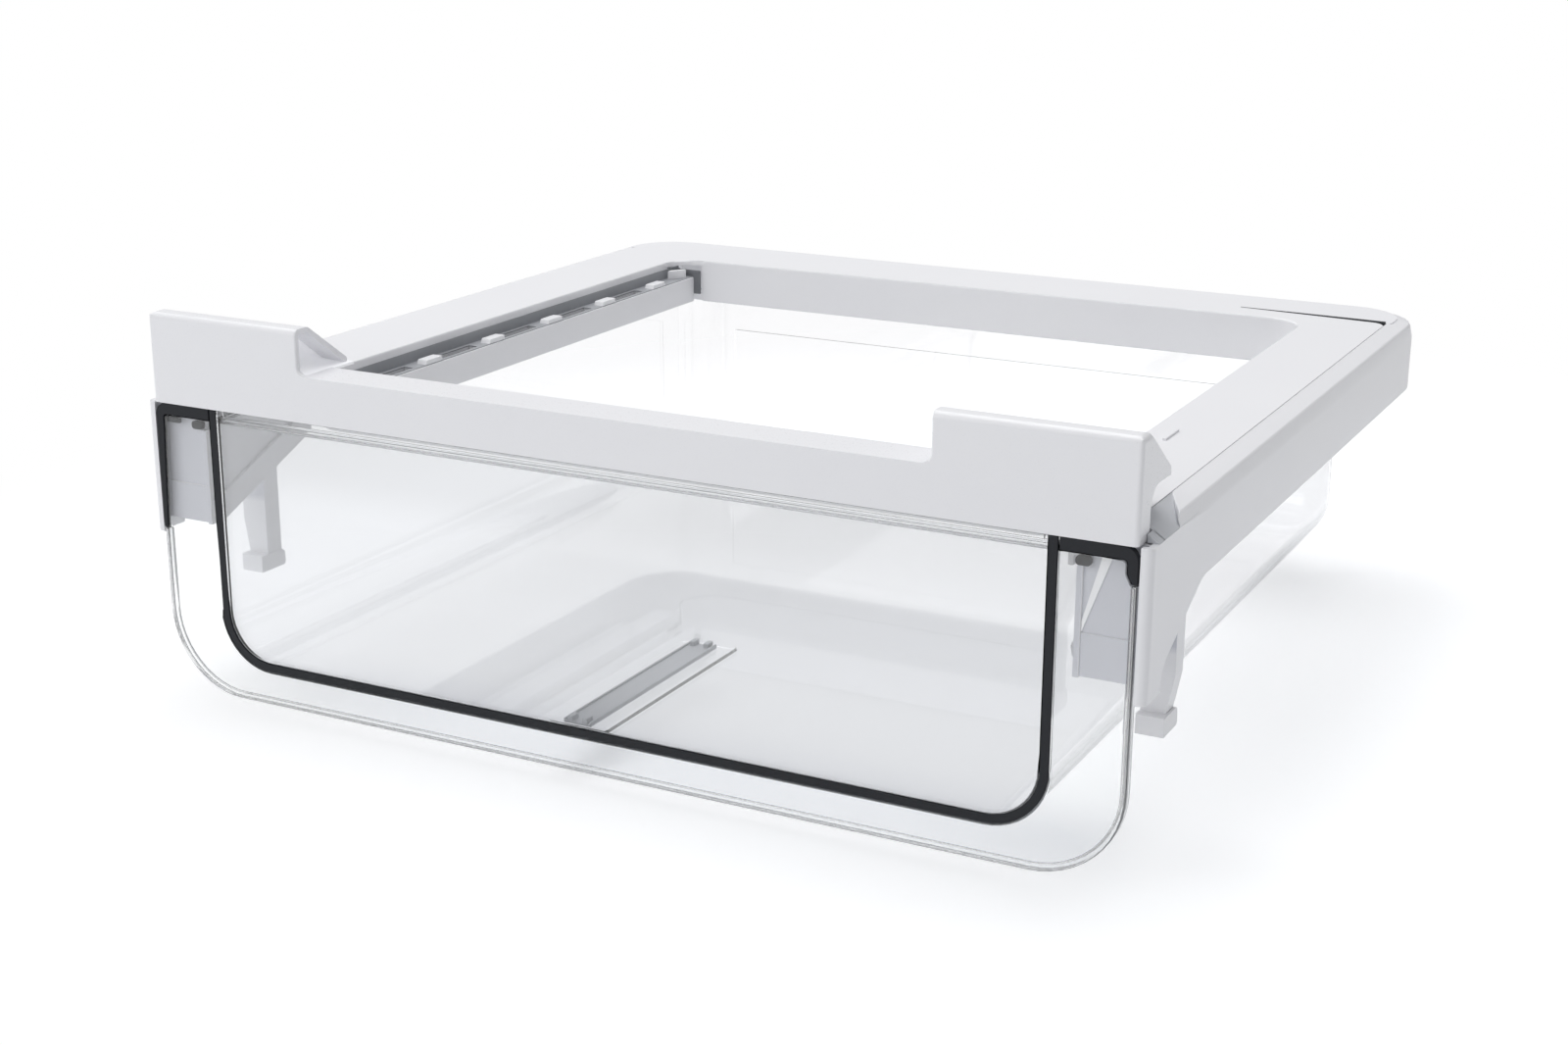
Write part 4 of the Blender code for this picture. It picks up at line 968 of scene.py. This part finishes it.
def clear_polystyrene(name, tint, edge_shade_tone, rough, wave, shade, cut_edges=0.0, lip=0.0):
    """Polystyrene, polished clear: IOR near 1.57, light passes to what stands behind.

    edge_shade_tone is a painted dark tone for the edges and at a low angle, wave the waviness,
    shade how solid it is to shadow rays. cut_edges paints shade on the rounded edges of a flat
    front, and lip paints shade on its lower part, from LIP_LEFT to the right."""
    made = new_material(name)
    tree = made.node_tree
    spot = add_node(tree, "ShaderNodeTexCoord").outputs["Object"]
    ripple = add_node(
        tree,
        "ShaderNodeTexNoise",
        {"Vector": spot, "Scale": 1000 / WAVE_MM, "Detail": 1.0, "Roughness": 0.3},
    )
    bump = add_node(
        tree,
        "ShaderNodeBump",
        {"Height": ripple.outputs["Fac"], "Strength": wave, "Distance": 0.0004},
    )
    haze = add_node(
        tree,
        "ShaderNodeMapRange",
        {"Value": ripple.outputs["Fac"], "To Min": rough * 0.6, "To Max": rough * 1.4},
    )
    path = add_node(tree, "ShaderNodeLightPath")
    passing = add_node(
        tree,
        "ShaderNodeMath",
        {0: path.outputs["Is Shadow Ray"], 1: path.outputs["Is Diffuse Ray"]},
        operation="MAXIMUM",
    )
    solid = add_node(
        tree,
        "ShaderNodeMapRange",
        {"Value": passing.outputs[0], "To Min": 1.0, "To Max": shade},
    )
    lean = add_node(tree, "ShaderNodeLayerWeight", {"Blend": 0.5})
    rim_share = add_node(
        tree,
        "ShaderNodeMapRange",
        {"Value": lean.outputs["Facing"], "From Min": 0.78, "From Max": 0.91},
    )
    surface = add_node(tree, "ShaderNodeNewGeometry")
    turned = add_node(tree, "ShaderNodeSeparateXYZ", {0: surface.outputs["Normal"]})
    to_front = add_node(tree, "ShaderNodeMath", {0: turned.outputs["Y"]}, operation="ABSOLUTE")
    rounding = add_node(
        tree,
        "ShaderNodeMapRange",
        {"Value": to_front.outputs[0], "From Min": 0.97, "From Max": 0.80, "To Max": cut_edges},
    )
    side = add_node(
        tree,
        "ShaderNodeMapRange",
        {"Value": to_front.outputs[0], "From Min": 0.10, "From Max": 0.35},
    )
    edge_share = add_node(
        tree,
        "ShaderNodeMath",
        {0: rounding.outputs["Result"], 1: side.outputs["Result"]},
        operation="MULTIPLY",
    )
    soft = add_node(
        tree,
        "ShaderNodeMath",
        {0: edge_share.outputs[0], 1: EDGE_SATIN, 2: haze.outputs["Result"]},
        operation="MULTIPLY_ADD",
    )
    painted_edge_share = add_node(
        tree,
        "ShaderNodeMath",
        {0: rim_share.outputs["Result"], 1: edge_share.outputs[0]},
        operation="MAXIMUM",
    )
    along = add_node(tree, "ShaderNodeSeparateXYZ", {0: spot})
    low_down = add_node(
        tree,
        "ShaderNodeMapRange",
        {"Value": along.outputs["Z"], "From Min": LIP_TOP, "From Max": LIP_FOOT, "To Max": lip},
        interpolation_type="SMOOTHSTEP",
    )
    past_left = add_node(
        tree,
        "ShaderNodeMapRange",
        {"Value": along.outputs["X"], "From Min": LIP_LEFT, "From Max": LIP_RIGHT},
        interpolation_type="SMOOTHSTEP",
    )
    lip_shade_share = add_node(
        tree,
        "ShaderNodeMath",
        {0: low_down.outputs["Result"], 1: past_left.outputs["Result"]},
        operation="MULTIPLY",
    )
    lip_painted_shade = add_node(
        tree,
        "ShaderNodeMix",
        {"Factor": lip_shade_share.outputs[0], 6: linear(tint), 7: linear("#E9EBEF")},
        data_type="RGBA",
    )
    depth = add_node(
        tree,
        "ShaderNodeMix",
        {"Factor": painted_edge_share.outputs[0], 6: lip_painted_shade.outputs[2], 7: linear(edge_shade_tone)},
        data_type="RGBA",
    )
    body = add_node(
        tree,
        "ShaderNodeBsdfPrincipled",
        {
            "Base Color": depth.outputs[2],
            "Roughness": soft.outputs[0],
            "IOR": 1.57,
            "Specular IOR Level": 0.32,
            "Transmission Weight": 1.0,
            "Alpha": solid.outputs["Result"],
            "Normal": bump.outputs["Normal"],
        },
    )
    add_node(tree, "ShaderNodeOutputMaterial", {"Surface": body.outputs[0]})
    return made


# Seen at a low angle, the tub's colour darkens to a painted edge shade.
clear_tub = clear_polystyrene("polystyrene_moulded_clear", "#FCFCFD", "#777B81", 0.02, 0.015, 0.05)
place(smooth_copy("bin", "clear_tub", TUB_EDGE), "drawer", "clear_plastic", clear_tub, "bin")

# --- Front panel ---
# A separate clear moulding with a flat polished face, bonded to the tub's front. Its edge is
# rounded over and left satin, and painted shade shows it as a soft grey line; its lower part is
# painted greyer too.

PANEL_EDGE = 0.0009
clear_panel = clear_polystyrene(
    "polystyrene_panel_clear", "#FCFDFD", "#34373B", 0.015, 0.004, 0.04, cut_edges=0.95, lip=0.5
)
panel = smooth_copy("front_panel", "clear_panel", PANEL_EDGE, 3)
place(panel, "drawer", "clear_plastic", clear_panel, "front_panel")

# --- U band and corner strips ---
# Charcoal trim moulded into the panel: one band along the tub's outline and a strip round each
# upper corner. Soft matt plastic with a fine grain.

TRIM_EDGE = 0.0003
BUFFER_EDGE = 0.0001
TRIM_GRAIN_MM = 0.5
charcoal = new_material("charcoal_trim_moulded_matt")
tree = charcoal.node_tree
spot = add_node(tree, "ShaderNodeTexCoord").outputs["Object"]
grain = add_node(
    tree, "ShaderNodeTexNoise", {"Vector": spot, "Scale": 1000 / TRIM_GRAIN_MM, "Detail": 2.0}
)
tone = add_node(
    tree,
    "ShaderNodeMix",
    {"Factor": grain.outputs["Fac"], 6: linear("#1D1F23"), 7: linear("#292B30")},
    data_type="RGBA",
)
bump = add_node(
    tree, "ShaderNodeBump", {"Height": grain.outputs["Fac"], "Strength": 0.15, "Distance": 0.0001}
)
body = add_node(
    tree,
    "ShaderNodeBsdfPrincipled",
    {
        "Base Color": tone.outputs[2],
        "Roughness": 0.5,
        "IOR": 1.5,
        "Specular IOR Level": 0.25,
        "Normal": bump.outputs["Normal"],
    },
)
add_node(tree, "ShaderNodeOutputMaterial", {"Surface": body.outputs[0]})
place(smooth_copy("u_band", "charcoal_band", TRIM_EDGE), "drawer", "dark_trim", charcoal, "u_band")
for side in ("left", "right"):
    strip = smooth_copy(f"corner_strip_{side}", f"charcoal_strip_{side}", TRIM_EDGE)
    place(strip, "drawer", "dark_trim", charcoal, f"corner_strip_{side}")
    buffer = smooth_copy(f"buffer_{side}", f"oval_buffer_{side}", BUFFER_EDGE)
    place(buffer, "drawer", "dark_rubber", charcoal, f"buffer_{side}")

# --- Fascia ---
# The grip along the top of the panel: a thin white ABS shell with raised, winged ends. Its front is
# a little warmer in sheen than the frame, from a smoother mould face.

FASCIA_EDGE = 0.0009
fascia_abs = satin_white_abs("white_abs_moulded_smooth", "#EFEFF1", "#ECECEF", 0.28)
CUT_LEVEL = 0.1238
HOLLOW_END = 0.1354
BEHIND_FRONT = -0.203


def on_fascia_cut(edge):
    """Edges along the foot and round the mouths of the hollow ends."""
    at_mouth = both_ends(
        edge, lambda co: abs(abs(co.x) - HOLLOW_END) < 0.0001 and co.y > BEHIND_FRONT
    )
    return at_mouth or both_ends(edge, lambda co: co.z < CUT_LEVEL)


fascia = smooth_copy("fascia", "grip_fascia", FASCIA_EDGE, 3, plain=on_fascia_cut)
place(fascia, "drawer", "white_plastic", fascia_abs, "fascia")

# Inside each hollow end a curved web runs up from the grip's top to the underside of the slope.
# It is thin enough to pass some light, painted here as a faint glow and a whiter colour than the
# grip.
web_glow_abs = satin_white_abs("white_abs_web_painted_glow", "#F6F6F8", "#F2F2F5", 0.25)
web_shader = next(node for node in web_glow_abs.node_tree.nodes if node.type == "BSDF_PRINCIPLED")
web_shader.inputs["Emission Color"].default_value = linear("#F4F5F8")
web_shader.inputs["Emission Strength"].default_value = 0.22
WEB_START = 0.1330
WEB_REACH = 0.0125
WEB_THICK = 0.0011
WEB_FRONT = -0.2018
WEB_REAR = -0.1710
WEB_LEAST = 0.0008
GRIP_TOP = 0.14235
SLOPE_FROM = (-0.1959, 0.1583)
SLOPE_TO = (-0.1700, 0.1393)
WEB_STATIONS = 14
WEB_STEPS = 10
for side, sign in (("left", -1), ("right", 1)):
    rows = []
    for station in range(WEB_STATIONS + 1):
        y = WEB_FRONT + (WEB_REAR - WEB_FRONT) * station / WEB_STATIONS
        slope_share = max(0, (y - SLOPE_FROM[0]) / (SLOPE_TO[0] - SLOPE_FROM[0]))
        slope_level = SLOPE_FROM[1] - (SLOPE_FROM[1] - SLOPE_TO[1]) * slope_share
        rise = max(WEB_LEAST, slope_level - GRIP_TOP)
        row = []
        for step in range(WEB_STEPS + 1):
            angle = math.pi / 2 * step / WEB_STEPS
            x = WEB_START + WEB_REACH * math.sin(angle)
            z = GRIP_TOP + rise * (1 - math.cos(angle))
            row.append((sign * x, y, z, math.sin(angle), math.cos(angle)))
        rows.append(row)
    wide = WEB_STEPS + 1
    upper = [(x, y, z) for row in rows for x, y, z, _, _ in row]
    under = [
        (x + sign * WEB_THICK * across, y, z - WEB_THICK * down)
        for row in rows
        for x, y, z, across, down in row
    ]
    offset = len(upper)
    faces = []
    for station in range(WEB_STATIONS):
        for step in range(WEB_STEPS):
            a = station * wide + step
            faces.append((a, a + 1, a + wide + 1, a + wide))
            faces.append((offset + a, offset + a + wide, offset + a + wide + 1, offset + a + 1))
        a = station * wide
        faces.append((a, a + wide, offset + a + wide, offset + a))
        a += WEB_STEPS
        faces.append((a, offset + a, offset + a + wide, a + wide))
    for step in range(WEB_STEPS):
        faces.append((step, offset + step, offset + step + 1, step + 1))
        a = WEB_STATIONS * wide + step
        faces.append((a, a + 1, offset + a + 1, offset + a))
    web = solid_from(f"hollow_web_{side}", upper + under, faces)
    finish_piece(web, "drawer", web_glow_abs)

# --- Floor strip ---
# A shallow grey channel that clips to the tub's floor: moulded polypropylene with a satin face and
# small hooks at both ends.

STRIP_EDGE = 0.0002
grey = satin_white_abs("grey_polypropylene_moulded", "#A6A8AC", "#989A9F", 0.36)
strip = smooth_copy("floor_strip", "floor_channel", STRIP_EDGE)
place(strip, "drawer", "grey_plastic", grey, "floor_strip")
